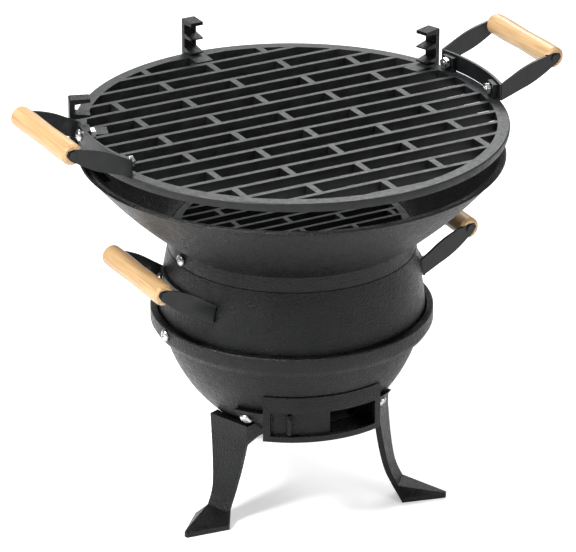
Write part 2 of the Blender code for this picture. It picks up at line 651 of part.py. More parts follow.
def body_strap():
    low, high = BODY_STRAP_Z, BODY_STRAP_Z + STRAP_HEIGHT
    curve = [(radius_at(RING_CURVE, height) + GAP, height) for height in (low, high)]
    return {"curve": curve, "grip": (BODY_GRIP_R, BODY_GRIP_Z), "wall": RING_WALL}


def strap_bolt_places(azimuth, strap):
    (r0, z0), (r1, z1) = strap["curve"]
    height = (z0 + z1) / 2
    radius = (r0 + r1) / 2
    swing = math.degrees(math.asin(STRAP_BOLT_OFFSET / radius))
    curve = [(r0, z0), (r1, z1)]
    return [wall_place(azimuth + side * swing, curve, height, strap["wall"] + GAP, STRAP_THICKNESS)
            for side in (-1, 1)]


def arm_outline(strap):
    (r0, z0), (r1, z1) = strap["curve"]
    grip_r, grip_z = strap["grip"]
    far = ARM_OFFSET + ARM_THICKNESS
    foot0 = math.sqrt((r0 + STRAP_THICKNESS / 2) ** 2 - far ** 2)
    foot1 = math.sqrt((r1 + STRAP_THICKNESS / 2) ** 2 - far ** 2)
    root = Vector(((foot0 + foot1) / 2, (z0 + z1) / 2))
    tip = Vector((grip_r, grip_z))
    along = (tip - root).normalized()
    across = Vector((-along.y, along.x))
    under, over = [], []
    for share in ARM_SHARES:
        half = ARM_TIP_WIDTH / 2 * (1 + ARM_LEAF * math.sin(math.pi * share))
        middle = root.lerp(tip, share)
        under.append(tuple(middle - across * half))
        over.append(tuple(middle + across * half))
    nose = tip + along * ARM_TIP_WIDTH / 2
    end = [tuple(tip - across * ARM_TIP_WIDTH / 2), tuple(nose - across * ARM_TIP_WIDTH * 0.2),
           tuple(nose + across * ARM_TIP_WIDTH * 0.2), tuple(tip + across * ARM_TIP_WIDTH / 2)]
    return [(foot0, z0)] + under + end + list(reversed(over)) + [(foot1, z1)]


def bracket(azimuth, strap):
    (r0, z0), (r1, z1) = strap["curve"]
    swing = math.degrees(math.asin((ARM_OFFSET + ARM_THICKNESS / 2) / r1))
    outline = [(r0, z0), (r0 + STRAP_THICKNESS, z0), (r1 + STRAP_THICKNESS, z1), (r1, z1)]
    body = lathe(outline, 10, -swing, swing)
    for side in (-1, 1):
        low, high = sorted((side * ARM_OFFSET, side * (ARM_OFFSET + ARM_THICKNESS)))
        body = boolean(body, plate(arm_outline(strap), low, high), "UNION")
    holes = [hole_tool(*place) for place in strap_bolt_places(0, strap)]
    rod_hole = lathe([(0, -GRIP_LENGTH / 2), (ROD_R + GAP, -GRIP_LENGTH / 2), (ROD_R + GAP, GRIP_LENGTH / 2),
                      (0, GRIP_LENGTH / 2)], BOLT_STEPS)
    grip_r, grip_z = strap["grip"]
    holes.append(aimed(rod_hole, Vector((grip_r, 0, grip_z)), (0, 1, 0)))
    return turned(boolean(body, merged(holes), "DIFFERENCE"), azimuth)


def grip(azimuth, strap):
    half = GRIP_LENGTH / 2
    inside = ROD_R + GAP
    waist = GRIP_R * 0.90
    profile = [(inside, -half), (GRIP_R - GRIP_ROUND, -half), (GRIP_R * 0.97, -half + GRIP_ROUND), (GRIP_R, -half * 0.6)]
    profile += [(waist + GRIP_R * 0.04, 0), (GRIP_R, half * 0.6), (GRIP_R * 0.97, half - GRIP_ROUND)]
    profile += [(GRIP_R - GRIP_ROUND, half), (inside, half)]
    grip_r, grip_z = strap["grip"]
    body = aimed(lathe(profile, GRIP_STEPS), Vector((grip_r, 0, grip_z)), (0, 1, 0))
    outline = [Vector(point) for point in arm_outline(strap)]
    middle = sum(outline, Vector((0, 0))) / len(outline)
    room = [tuple(point + (point - middle).normalized() * 0.0008) for point in outline]
    for side in (-1, 1):
        low, high = sorted((side * (ARM_OFFSET - GAP), side * (half + 0.002)))
        body = boolean(body, plate(room, low, high), "DIFFERENCE")
    return turned(body, azimuth)


def grip_rod(azimuth, strap):
    half = ARM_OFFSET + ARM_THICKNESS + GAP
    head = ROD_R * 1.7
    profile = [(0, -half - 0.0009), (head, -half - 0.0009), (head, -half), (ROD_R, -half)]
    profile += [(ROD_R, half), (head, half), (head, half + 0.0009), (0, half + 0.0009)]
    grip_r, grip_z = strap["grip"]
    return turned(aimed(lathe(profile, BOLT_STEPS), Vector((grip_r, 0, grip_z)), (0, 1, 0)), azimuth)


# ---- assembly ----------------------------------------------------------------------------
def add(name, bm, material, parent, smooth=30.0):
    mesh = bpy.data.meshes.new(name)
    bm.to_mesh(mesh)
    bm.free()
    mesh.shade_smooth()
    mesh.set_sharp_from_angle(angle=math.radians(smooth))
    mesh.materials.append(material)
    item = bpy.data.objects.new(name, mesh)
    bpy.context.collection.objects.link(item)
    item.parent = parent
    return item


def add_fasteners(name, places, steel, parent, tapped=False):
    """One bolt for each place, and a nut behind it unless the hole is tapped."""
    for number, place in enumerate(places, 1):
        add(f"{name}_bolt_{number}", bolt(*place, tapped), steel, parent)
        if not tapped:
            add(f"{name}_nut_{number}", nut(*place), steel, parent)


def main():
    for item in list(bpy.data.objects):
        bpy.data.objects.remove(item)
    iron = make_material("cast_iron", (0.045, 0.047, 0.050), 0.62, 0.35)
    grate_iron = make_material("grate_iron", (0.075, 0.078, 0.082), 0.52, 0.55)
    sheet = make_material("black_sheet", (0.055, 0.060, 0.064), 0.50, 0.30)
    steel = make_material("zinc_steel", (0.62, 0.62, 0.60), 0.28, 1.0)
    wood = make_material("wood", (0.72, 0.48, 0.22), 0.55, 0.0)
    axis = bpy.data.objects.new("grill_axis", None)
    bpy.context.collection.objects.link(axis)
    axis.location = (0, AXIS_Y, 0)

    add("lower_bowl", lower_bowl(), iron, axis)
    add("middle_ring", middle_ring(), iron, axis)
    add("upper_dish", upper_dish(), iron, axis)
    add_fasteners("neck", neck_bolt_places(), steel, axis, tapped=True)
    add_fasteners("collar", collar_bolt_places(), steel, axis, tapped=True)
    for name, azimuth in LEG_AZIMUTHS.items():
        add(f"leg_{name}", leg(azimuth), iron, axis)
    add_fasteners("leg", leg_bolt_places(), steel, axis, tapped=True)
    add("vent_housing", vent_housing(), iron, axis)
    add("vent_shutter", vent_shutter(), iron, axis)
    add_fasteners("vent", vent_bolt_places(), steel, axis)
    for name, azimuth in POST_AZIMUTHS.items():
        add(f"post_{name}", post(azimuth), iron, axis)
    add_fasteners("post", post_bolt_places(), steel, axis)
    add("charcoal_grate", charcoal_grate(), grate_iron, axis)
    add("cooking_grate", cooking_grate(), grate_iron, axis)
    for kind, strap in (("grate", grate_strap()), ("body", body_strap())):
        for side, azimuth in (("right", 0), ("left", 180)):
            add(f"{kind}_bracket_{side}", bracket(azimuth, strap), sheet, axis)
            add(f"{kind}_grip_{side}", grip(azimuth, strap), wood, axis)
            add(f"{kind}_rod_{side}", grip_rod(azimuth, strap), steel, axis)
            add_fasteners(f"{kind}_{side}", strap_bolt_places(azimuth, strap), steel, axis)


main()
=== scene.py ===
"""The looks of the tabletop charcoal grill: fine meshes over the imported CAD, materials, light
and camera. The dimensions are the CAD model's own; only the mesh is finer."""

import json
import math

import bmesh
import bpy
from mathutils import Matrix, Vector


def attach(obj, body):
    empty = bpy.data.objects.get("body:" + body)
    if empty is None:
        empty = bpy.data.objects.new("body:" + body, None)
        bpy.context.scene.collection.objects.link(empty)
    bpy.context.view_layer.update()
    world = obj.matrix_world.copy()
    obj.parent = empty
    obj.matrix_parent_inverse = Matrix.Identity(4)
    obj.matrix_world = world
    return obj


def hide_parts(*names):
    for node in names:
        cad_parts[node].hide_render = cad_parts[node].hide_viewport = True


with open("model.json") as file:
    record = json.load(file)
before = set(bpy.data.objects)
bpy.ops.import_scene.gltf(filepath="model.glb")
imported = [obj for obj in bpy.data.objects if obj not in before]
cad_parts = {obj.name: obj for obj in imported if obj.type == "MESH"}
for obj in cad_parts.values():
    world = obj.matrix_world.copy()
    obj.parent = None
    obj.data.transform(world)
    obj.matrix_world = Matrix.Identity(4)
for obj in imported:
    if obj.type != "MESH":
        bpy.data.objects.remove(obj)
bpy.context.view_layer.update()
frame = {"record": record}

# ---- driving dimensions (metres, degrees) ------------------------------------------------
GAP = 0.0003                # clearance between pieces that touch on the real grill

# turned castings
BOWL_BOTTOM_R = 0.058       # flat underside of the lower bowl
BOWL_BOTTOM_Z = 0.076
BOWL_MIDDLE_R = 0.0905      # a point half way up the bowl's curved wall
BOWL_MIDDLE_Z = 0.111
BOWL_TOP_R = 0.1075
BOWL_TOP_Z = 0.152
BOWL_WALL = 0.0045
COLLAR_R = 0.1176           # thick collar that the middle ring stands in
COLLAR_TOP_Z = 0.1695
COLLAR_BULGE = 0.006        # height of the collar's rounded lower edge
LEDGE_Z = 0.1560            # the middle ring stands on this ledge

RING_FOOT_R = 0.1120
RING_SHOULDER_R = 0.1028
RING_BELLY = 0.0012         # how far the ring's wall bulges from a straight cone
RING_SHOULDER_Z = 0.2220
RING_WALL = 0.0042
NECK_R = 0.0988
NECK_TOP_Z = 0.2336

SKIRT_WALL = 0.0034
SKIRT_TOP_Z = 0.2350
DISH_RIM_Z = 0.3055
DISH_WALL = 0.0042
DISH_HOLLOW = 0.0035        # how far the flared wall sags below a straight cone

# cooking grate
GRATE_R = 0.1775
DISH_RIM_R = GRATE_R - 0.0022   # the grate just covers the dish
GRATE_RING_WIDTH = 0.0100
GRATE_TOP_Z = 0.3310
GRATE_DEPTH = 0.0072
BAR_PITCH = 0.0209
BAR_TOP_WIDTH = 0.0038
BAR_FOOT_WIDTH = 0.0062
TIE_PITCH = 0.0555
TIE_WIDTH = 0.0052
PAD_WIDTH = 0.018           # solid webs beside the posts
PAD_REACH = 0.016

# charcoal grate
COAL_R = NECK_R
COAL_RING_WIDTH = 0.0070
COAL_DEPTH = 0.0060
COAL_BAR_PITCH = 0.0135
COAL_BAR_TOP_WIDTH = 0.0030
COAL_BAR_FOOT_WIDTH = 0.0042
COAL_TIE_PITCH = 0.0420
COAL_TIE_WIDTH = 0.0040

# notched posts
POST_WIDTH = 0.0115
POST_CLEARANCE = 0.0070     # between a side post and the arm of the handle beside it
POST_BACK = 0.0045          # thickness behind the notches
TOOTH_REACH = 0.0125
NOTCH_COUNT = 3
NOTCH_HEIGHT = 0.0080
TOOTH_HEIGHT = 0.0045
TOOTH_SLOPE = 0.0016
POST_SHELF = 0.0060         # depth of the shelf under the lowest notch
POST_FOOT = 0.0170          # how far the foot reaches down inside the dish
POST_FOOT_THICKNESS = 0.0060

# legs
LEG_AZIMUTHS = {"front_left": -160.0, "front_right": -40.0, "rear": 80.0}
LEG_THICKNESS = 0.0055
LEG_STATIONS = (            # height, radius of the outer face, half width
    (0.0880, 0.0790, 0.0205),
    (0.0740, 0.0790, 0.0195),
    (0.0470, 0.0825, 0.0150),
    (0.0260, 0.0870, 0.0115),
    (0.0120, 0.0935, 0.0110),
)
LEG_TAB_R = 0.040           # inner end of the bolted tab under the bowl
LEG_TAB_THICKNESS = 0.0055
LEG_BOLT_R = 0.0500
FOOT_HEEL_R = 0.0985
FOOT_HALF_WIDTH = 0.0180
FOOT_TIP_R = 0.1325
FOOT_TIP_HEIGHT = 0.0045

# air vent
VENT_AZIMUTH = -102.5
VENT_FACE_R = 0.1005
VENT_LOW_Z = 0.0870
VENT_FACE_TOP_Z = 0.1180
VENT_TOP_Z = 0.1270
VENT_HALF_ANGLE = 30.0
VENT_WALL = 0.0036
WINDOW_HALF_ANGLE = 26.5
WINDOW_LIP = 0.0050         # height of the face above and below the window
AIR_HOLE_ANGLES = (2.5, 24.0)
SHUTTER_R = 0.0947
SHUTTER_THICKNESS = 0.0024
SHUTTER_ANGLES = (-27.5, 2.5)
SHUTTER_KNOB_ANGLE = -17.5
SHUTTER_KNOB_REACH = 0.0065
SHUTTER_KNOB_WIDTH = 0.0032
EAR_HALF_ANGLE = 47.0
EAR_THICKNESS = 0.0032
EAR_HALF_HEIGHT = 0.0065
VENT_SCREW_ANGLE = 42.0
VENT_SCREW_Z = 0.1010

# handles
GRIP_LENGTH = 0.0960
GRIP_R = 0.0092
GRIP_ROUND = 0.0022
ROD_R = 0.0020
STRAP_THICKNESS = 0.0024
STRAP_HEIGHT = 0.0140
ARM_OFFSET = GRIP_LENGTH / 2 - 0.0025        # inner face of each arm, let into the grip's end
STRAP_BOLT_OFFSET = ARM_OFFSET - 0.0105      # bolts either side of the handle's middle
ARM_THICKNESS = 0.0024
ARM_TIP_WIDTH = 0.0095
ARM_LEAF = 0.75             # how much wider the arm is half way along
GRATE_GRIP_R = 0.2220       # grip axis from the grill's axis
GRATE_GRIP_Z = GRATE_TOP_Z + 0.0290
GRATE_STRAP_Z = GRATE_TOP_Z + 0.0008
EAR_R_THICKNESS = 0.0042
BODY_GRIP_R = 0.1430
BODY_GRIP_Z = 0.2230
BODY_STRAP_Z = 0.1900

# fasteners
BOLT_R = 0.0025
BOLT_HEAD_R = 0.0050
BOLT_HEAD_HEIGHT = 0.0032
RECESS_REACH = 0.0030
RECESS_DEPTH = 0.0014
RECESS_WIDTH = 0.0010
NUT_R = 0.0050
NUT_HEIGHT = 0.0038
NUT_STANDOFF = 0.0011       # keeps a flat nut's corners off a curved wall
HEAD_STANDOFF = 0.0007      # the same for a head on the flared wall

# The side posts stand just behind the handles.
POST_OFFSET = ARM_OFFSET + ARM_THICKNESS + POST_CLEARANCE + POST_WIDTH / 2
POST_SWING = math.degrees(math.asin(POST_OFFSET / GRATE_R))
POST_AZIMUTHS = {"left": 180 - POST_SWING, "rear": 90.0, "right": POST_SWING}

# mesh density
ARM_SHARES = tuple(0.30 + 0.06 * step for step in range(11))
TURN_STEPS = 180
ARC_STEPS = 24
GRIP_STEPS = 48
BOLT_STEPS = 24

# The rear post reaches past the rim, so the grill's axis lies a little in front of the origin.
POST_OUTER_R = GRATE_R + 2 * GAP + POST_BACK
AXIS_Y = -(POST_OUTER_R - GRATE_R) / 2


# ---- mesh tools --------------------------------------------------------------------------
def tidy(bm):
    bmesh.ops.remove_doubles(bm, verts=bm.verts, dist=1e-6)
    bmesh.ops.dissolve_degenerate(bm, edges=bm.edges, dist=1e-6)
    bmesh.ops.recalc_face_normals(bm, faces=bm.faces)
    return bm


def lathe(profile, steps=TURN_STEPS, low=0.0, high=360.0):
    """Turns a closed outline of (radius, height) points about Z, all round or through a sector."""
    bm = bmesh.new()
    full = high - low >= 360.0
    columns = []
    poles = {}
    for step in range(steps if full else steps + 1):
        angle = math.radians(low + (high - low) * step / steps)
        column = []
        for index, (radius, height) in enumerate(profile):
            if radius > 0:
                column.append(bm.verts.new((radius * math.cos(angle), radius * math.sin(angle), height)))
                continue
            if index not in poles:
                poles[index] = bm.verts.new((0, 0, height))
            column.append(poles[index])
        columns.append(column)
    for step in range(steps):
        here = columns[step]
        there = columns[(step + 1) % len(columns)]
        for index in range(len(profile)):
            following = (index + 1) % len(profile)
            corners = [here[index], there[index], there[following], here[following]]
            corners = list(dict.fromkeys(corners))
            if len(corners) > 2:
                bm.faces.new(corners)
    if not full:
        bm.faces.new(columns[0])
        bm.faces.new(list(reversed(columns[-1])))
    bmesh.ops.recalc_face_normals(bm, faces=bm.faces)
    return bm


def plate(outline, low, high):
    """A flat plate: an outline of (x, z) points in the XZ plane, thick along Y from low to high."""
    bm = bmesh.new()
    near = [bm.verts.new((x, low, z)) for x, z in outline]
    far = [bm.verts.new((x, high, z)) for x, z in outline]
    bm.faces.new(near)
    bm.faces.new(list(reversed(far)))
    for index in range(len(outline)):
        following = (index + 1) % len(outline)
        bm.faces.new((near[index], near[following], far[following], far[index]))
    bmesh.ops.recalc_face_normals(bm, faces=bm.faces)
    return bm


def hull(points):
    bm = bmesh.new()
    for point in points:
        bm.verts.new(point)
    found = bmesh.ops.convex_hull(bm, input=bm.verts)
    loose = [item for item in found["geom_interior"] if isinstance(item, bmesh.types.BMVert)]
    bmesh.ops.delete(bm, geom=loose, context="VERTS")
    return tidy(bm)


def merged(parts):
    """Joins meshes that don't touch into one mesh."""
    whole = bmesh.new()
    for part in parts:
        mesh = bpy.data.meshes.new("part")
        part.to_mesh(mesh)
        part.free()
        whole.from_mesh(mesh)
        bpy.data.meshes.remove(mesh)
    return whole


def boolean(body, tool, operation):
    """Union, difference or intersection of two meshes. Both are used up."""
    objects = []
    for bm in (body, tool):
        mesh = bpy.data.meshes.new("boolean")
        bm.to_mesh(mesh)
        bm.free()
        item = bpy.data.objects.new("boolean", mesh)
        bpy.context.collection.objects.link(item)
        objects.append(item)
    modifier = objects[0].modifiers.new("boolean", "BOOLEAN")
    modifier.operation = operation
    modifier.object = objects[1]
    evaluated = objects[0].evaluated_get(bpy.context.evaluated_depsgraph_get())
    result = bmesh.new()
    result.from_mesh(evaluated.to_mesh())
    evaluated.to_mesh_clear()
    for item in objects:
        mesh = item.data
        bpy.data.objects.remove(item)
        bpy.data.meshes.remove(mesh)
    return tidy(result)


def turned(bm, azimuth):
    bmesh.ops.rotate(bm, verts=bm.verts, matrix=Matrix.Rotation(math.radians(azimuth), 3, "Z"))
    return bm


def aimed(bm, origin, direction):
    """Moves a mesh that was made along +Z so that it starts at origin and points along direction."""
    turn = Vector((0, 0, 1)).rotation_difference(Vector(direction)).to_matrix().to_4x4()
    bmesh.ops.transform(bm, verts=bm.verts, matrix=Matrix.Translation(origin) @ turn)
    return bm


def arc(start, middle, end, steps=ARC_STEPS):
    """Points on the circle through three (radius, height) points, from start to end."""
    (ax, ay), (bx, by), (cx, cy) = start, middle, end
    scale = 2 * (ax * (by - cy) + bx * (cy - ay) + cx * (ay - by))
    a2, b2, c2 = ax * ax + ay * ay, bx * bx + by * by, cx * cx + cy * cy
    ux = (a2 * (by - cy) + b2 * (cy - ay) + c2 * (ay - by)) / scale
    uy = (a2 * (cx - bx) + b2 * (ax - cx) + c2 * (bx - ax)) / scale
    radius = math.hypot(ax - ux, ay - uy)
    first = math.atan2(ay - uy, ax - ux)
    sweep = math.atan2(cy - uy, cx - ux) - first
    sweep = (sweep + math.pi) % (2 * math.pi) - math.pi
    angles = [first + sweep * step / steps for step in range(steps + 1)]
    return [(ux + radius * math.cos(angle), uy + radius * math.sin(angle)) for angle in angles]


def bowed(start, end, bow, steps=ARC_STEPS):
    """An arc from start to end that leaves the straight line by bow, to the right of travel."""
    dx, dz = end[0] - start[0], end[1] - start[1]
    length = math.hypot(dx, dz)
    middle = ((start[0] + end[0]) / 2 + bow * dz / length, (start[1] + end[1]) / 2 - bow * dx / length)
    return arc(start, middle, end, steps)


def offset(points, distance):
    """Moves a run of (radius, height) points sideways: positive is to the right of travel."""
    moved = []
    for index, (radius, height) in enumerate(points):
        before = points[max(index - 1, 0)]
        after = points[min(index + 1, len(points) - 1)]
        dx, dz = after[0] - before[0], after[1] - before[1]
        length = math.hypot(dx, dz)
        moved.append((radius + distance * dz / length, height - distance * dx / length))
    return moved


def radius_at(points, height):
    """Radius of a rising run of (radius, height) points at a height."""
    for (r0, z0), (r1, z1) in zip(points, points[1:]):
        if z0 <= height <= z1:
            return r0 + (r1 - r0) * (height - z0) / (z1 - z0)
    return points[-1][0] if height > points[-1][1] else points[0][0]


# ---- outer curves of the turned castings -------------------------------------------------
BOWL_CURVE = arc((BOWL_BOTTOM_R, BOWL_BOTTOM_Z), (BOWL_MIDDLE_R, BOWL_MIDDLE_Z), (BOWL_TOP_R, BOWL_TOP_Z), 24)
RING_CURVE = bowed((RING_FOOT_R, LEDGE_Z + GAP), (RING_SHOULDER_R, RING_SHOULDER_Z - GAP), RING_BELLY, 16)
SKIRT_R = NECK_R + GAP + SKIRT_WALL
DISH_CURVE = bowed((SKIRT_R, SKIRT_TOP_Z), (DISH_RIM_R, DISH_RIM_Z), DISH_HOLLOW)
DISH_INSIDE = offset(DISH_CURVE, -DISH_WALL)


def lower_bowl():
    collar_inside = RING_FOOT_R + GAP
    inside = offset(BOWL_CURVE, -BOWL_WALL)
    inside[0] = (BOWL_BOTTOM_R - BOWL_WALL / 2, BOWL_BOTTOM_Z + BOWL_WALL)
    inside[-1] = (inside[-1][0], LEDGE_Z)
    profile = [(0, BOWL_BOTTOM_Z)] + BOWL_CURVE
    profile += [(COLLAR_R - COLLAR_BULGE / 2, BOWL_TOP_Z + 0.001), (COLLAR_R, BOWL_TOP_Z + COLLAR_BULGE)]
    profile += [(COLLAR_R, COLLAR_TOP_Z - 0.001), (COLLAR_R - 0.001, COLLAR_TOP_Z)]
    profile += [(collar_inside, COLLAR_TOP_Z), (collar_inside, LEDGE_Z)]
    profile += list(reversed(inside)) + [(0, BOWL_BOTTOM_Z + BOWL_WALL)]
    bowl = lathe(profile)
    low, high = AIR_HOLE_ANGLES
    hole = [(BOWL_BOTTOM_R, VENT_LOW_Z + WINDOW_LIP), (COLLAR_R, VENT_LOW_Z + WINDOW_LIP),
            (COLLAR_R, VENT_FACE_TOP_Z - WINDOW_LIP), (BOWL_BOTTOM_R, VENT_FACE_TOP_Z - WINDOW_LIP)]
    bowl = boolean(bowl, lathe(hole, 4, VENT_AZIMUTH + low, VENT_AZIMUTH + high), "DIFFERENCE")
    holes = [hole_tool(*place) for place in vent_bolt_places() + collar_bolt_places() + leg_bolt_places()]
    return boolean(bowl, merged(holes), "DIFFERENCE")


def middle_ring():
    inside = offset(RING_CURVE, -RING_WALL)
    neck_inside = NECK_R - RING_WALL
    inside[-1] = (neck_inside, inside[-1][1])
    profile = RING_CURVE + [(NECK_R, RING_SHOULDER_Z - GAP), (NECK_R, NECK_TOP_Z), (neck_inside, NECK_TOP_Z)]
    profile += list(reversed(inside))
    profile[-1] = (profile[-1][0], LEDGE_Z + GAP)
    ring = lathe(profile)
    holes = [hole_tool(*place) for place in neck_bolt_places() + collar_bolt_places()]
    holes += [hole_tool(*place) for azimuth in (0, 180) for place in strap_bolt_places(azimuth, body_strap())]
    return boolean(ring, merged(holes), "DIFFERENCE")


def upper_dish():
    skirt_inside = NECK_R + GAP
    profile = [(SKIRT_R, RING_SHOULDER_Z)] + DISH_CURVE[:-1]
    profile += [(DISH_RIM_R, DISH_RIM_Z - 0.0015), (DISH_RIM_R - 0.001, DISH_RIM_Z)]
    profile += [(DISH_RIM_R - DISH_WALL, DISH_RIM_Z), DISH_INSIDE[-2]]
    profile += list(reversed(DISH_INSIDE[1:-2]))
    profile += [(skirt_inside, SKIRT_TOP_Z + DISH_WALL), (skirt_inside, RING_SHOULDER_Z)]
    dish = lathe(profile)
    holes = [hole_tool(*place) for place in neck_bolt_places() + post_bolt_places()]
    return boolean(dish, merged(holes), "DIFFERENCE")


# ---- fasteners ---------------------------------------------------------------------------
# A bolt's place is its seat under the head, the direction out of the head, and its grip length.
def hole_tool(seat, outward, grip):
    radius = BOLT_R + GAP
    reach = 0.002
    profile = [(0, -grip - reach), (radius, -grip - reach), (radius, reach), (0, reach)]
    return aimed(lathe(profile, BOLT_STEPS), seat, outward)


def bolt(seat, outward, grip, tapped=False):
    length = grip if tapped else grip + NUT_STANDOFF + NUT_HEIGHT + 0.001
    profile = [(0, -length), (BOLT_R, -length), (BOLT_R, GAP), (BOLT_HEAD_R, GAP)]
    rim, rise = BOLT_HEAD_HEIGHT * 0.35, BOLT_HEAD_HEIGHT * 0.65
    for step in range(9):
        angle = math.radians(90 * step / 9)
        profile.append((BOLT_HEAD_R * math.cos(angle), GAP + rim + rise * math.sin(angle)))
    profile.append((0, GAP + BOLT_HEAD_HEIGHT))
    head = lathe(profile, BOLT_STEPS)
    top = GAP + BOLT_HEAD_HEIGHT
    for azimuth in (0, 90):
        recess = plate([(-RECESS_REACH, top + RECESS_DEPTH), (-RECESS_REACH * 0.6, top - RECESS_DEPTH),
                        (RECESS_REACH * 0.6, top - RECESS_DEPTH), (RECESS_REACH, top + RECESS_DEPTH)],
                       -RECESS_WIDTH / 2, RECESS_WIDTH / 2)
        head = boolean(head, turned(recess, azimuth), "DIFFERENCE")
    return aimed(head, seat, outward)


def nut(seat, outward, grip):
    bottom = -grip - NUT_STANDOFF - NUT_HEIGHT
    inside = (BOLT_R + GAP) / math.cos(math.radians(30))
    profile = [(inside, bottom), (NUT_R, bottom), (NUT_R, bottom + NUT_HEIGHT), (inside, bottom + NUT_HEIGHT)]
    return aimed(lathe(profile, 6), seat, outward)


def radial(azimuth, radius, height):
    angle = math.radians(azimuth)
    return Vector((radius * math.cos(angle), radius * math.sin(angle), height))


def wall_place(azimuth, outer_curve, height, thickness, extra=0.0):
    """A bolt square to a turned wall, with its head outside, extra beyond the wall's face."""
    step = BOLT_HEAD_R
    rise = radius_at(outer_curve, height + step) - radius_at(outer_curve, height - step)
    normal = Vector((2 * step, 0, -rise)).normalized()
    seat = Vector((radius_at(outer_curve, height), 0, height)) + normal * extra
    turn = Matrix.Rotation(math.radians(azimuth), 3, "Z")
    return turn @ seat, turn @ normal, thickness + extra


def neck_bolt_places():
    height = (RING_SHOULDER_Z + NECK_TOP_Z) / 2
    grip = SKIRT_WALL + GAP + RING_WALL
    return [(radial(azimuth, SKIRT_R, height), radial(azimuth, 1, 0), grip) for azimuth in (0, 180)]


def collar_bolt_places():
    height = (BOWL_TOP_Z + COLLAR_BULGE + COLLAR_TOP_Z) / 2
    grip = COLLAR_R - radius_at(RING_CURVE, height) + RING_WALL
    return [(radial(azimuth, COLLAR_R, height), radial(azimuth, 1, 0), grip) for azimuth in (0, 180)]


def vent_bolt_places():
    return [wall_place(VENT_AZIMUTH + side * VENT_SCREW_ANGLE, BOWL_CURVE, VENT_SCREW_Z, BOWL_WALL,
                       GAP + EAR_THICKNESS) for side in (-1, 1)]


def leg_bolt_places():
    grip = BOWL_WALL + GAP + LEG_TAB_THICKNESS
    bottom = BOWL_BOTTOM_Z - GAP - LEG_TAB_THICKNESS
    down = Vector((0, 0, -1))
    return [(radial(azimuth, LEG_BOLT_R, bottom), down, grip) for azimuth in LEG_AZIMUTHS.values()]


def post_bolt_height():
    return DISH_RIM_Z - POST_FOOT * 0.62


def post_bolt_places():
    return [post_bolt_place(azimuth) for azimuth in POST_AZIMUTHS.values()]


def post_bolt_place(azimuth):
    seat, normal, grip = wall_place(azimuth, DISH_CURVE, post_bolt_height(), DISH_WALL, HEAD_STANDOFF)
    return seat, normal, grip + GAP + POST_FOOT_THICKNESS


# ---- legs --------------------------------------------------------------------------------
def smooth_run(points, steps=5):
    """More points on a smooth curve through the given ones."""
    run = [points[0]]
    for index in range(len(points) - 1):
        before = points[max(index - 1, 0)]
        start, end = points[index], points[index + 1]
        after = points[min(index + 2, len(points) - 1)]
        for step in range(1, steps + 1):
            t = step / steps
            run.append(tuple(0.5 * (2 * q + (r - p) * t + (2 * p - 5 * q + 4 * r - s) * t * t
                                    + (3 * q - 3 * r + s - p) * t ** 3)
                             for p, q, r, s in zip(before, start, end, after)))
    return tuple(run)


def leg(azimuth):
    blocks = []
    stations = LEG_STATIONS[:2] + smooth_run(LEG_STATIONS[1:])[1:]
    for (z0, r0, w0), (z1, r1, w1) in zip(stations, stations[1:]):
        corners = []
        for height, radius, width in ((z0, r0, w0), (z1, r1, w1)):
            for side in (-1, 1):
                corners += [(radius, side * width, height),
                            (radius - LEG_THICKNESS, side * width * 0.9, height)]
        blocks.append(corners)
    height, radius, width = LEG_STATIONS[-1]
    foot = [(FOOT_TIP_R, y, z) for y in (-0.0015, 0.0015) for z in (0, FOOT_TIP_HEIGHT)]
    for side in (-1, 1):
        foot += [(FOOT_HEEL_R, side * FOOT_HALF_WIDTH, 0)]
        foot += [(FOOT_HEEL_R + 0.002, side * FOOT_HALF_WIDTH, FOOT_TIP_HEIGHT)]
        foot += [(radius, side * width, height), (radius - LEG_THICKNESS, side * width * 0.9, height)]
    blocks.append(foot)
    top = BOWL_BOTTOM_Z + GAP
    tab_low = BOWL_BOTTOM_Z - GAP - LEG_TAB_THICKNESS
    tab = []
    for reach, width in ((LEG_TAB_R, 0.010), (LEG_STATIONS[1][1], LEG_STATIONS[1][2])):
        tab += [(reach, side * width, level) for side in (-1, 1) for level in (tab_low, top)]
    blocks.append(tab)
    head = []
    for height, radius, width in LEG_STATIONS[:2]:
        head += [(reach, side * width, height) for side in (-1, 1) for reach in (radius, BOWL_BOTTOM_R)]
    blocks.append(head)
    whole = hull(blocks[0])
    for block in blocks[1:]:
        whole = boolean(whole, hull(block), "UNION")
    room = [(0, BOWL_BOTTOM_Z - GAP), (BOWL_BOTTOM_R, BOWL_BOTTOM_Z - GAP)]
    room += offset(BOWL_CURVE, GAP)[1:] + [(0, BOWL_TOP_Z)]
    whole = boolean(whole, lathe(room), "DIFFERENCE")
    place = (Vector((LEG_BOLT_R, 0, tab_low)), Vector((0, 0, -1)), LEG_TAB_THICKNESS)
    return turned(boolean(whole, hole_tool(*place), "DIFFERENCE"), azimuth)


# ---- air vent ----------------------------------------------------------------------------
def sector(outline, half_angle, steps=8, centre=0.0):
    return lathe(outline, steps * 3, VENT_AZIMUTH + centre - half_angle, VENT_AZIMUTH + centre + half_angle)


def box_outline(r0, r1, z0, z1):
    return [(r0, z0), (r1, z0), (r1, z1), (r0, z1)]


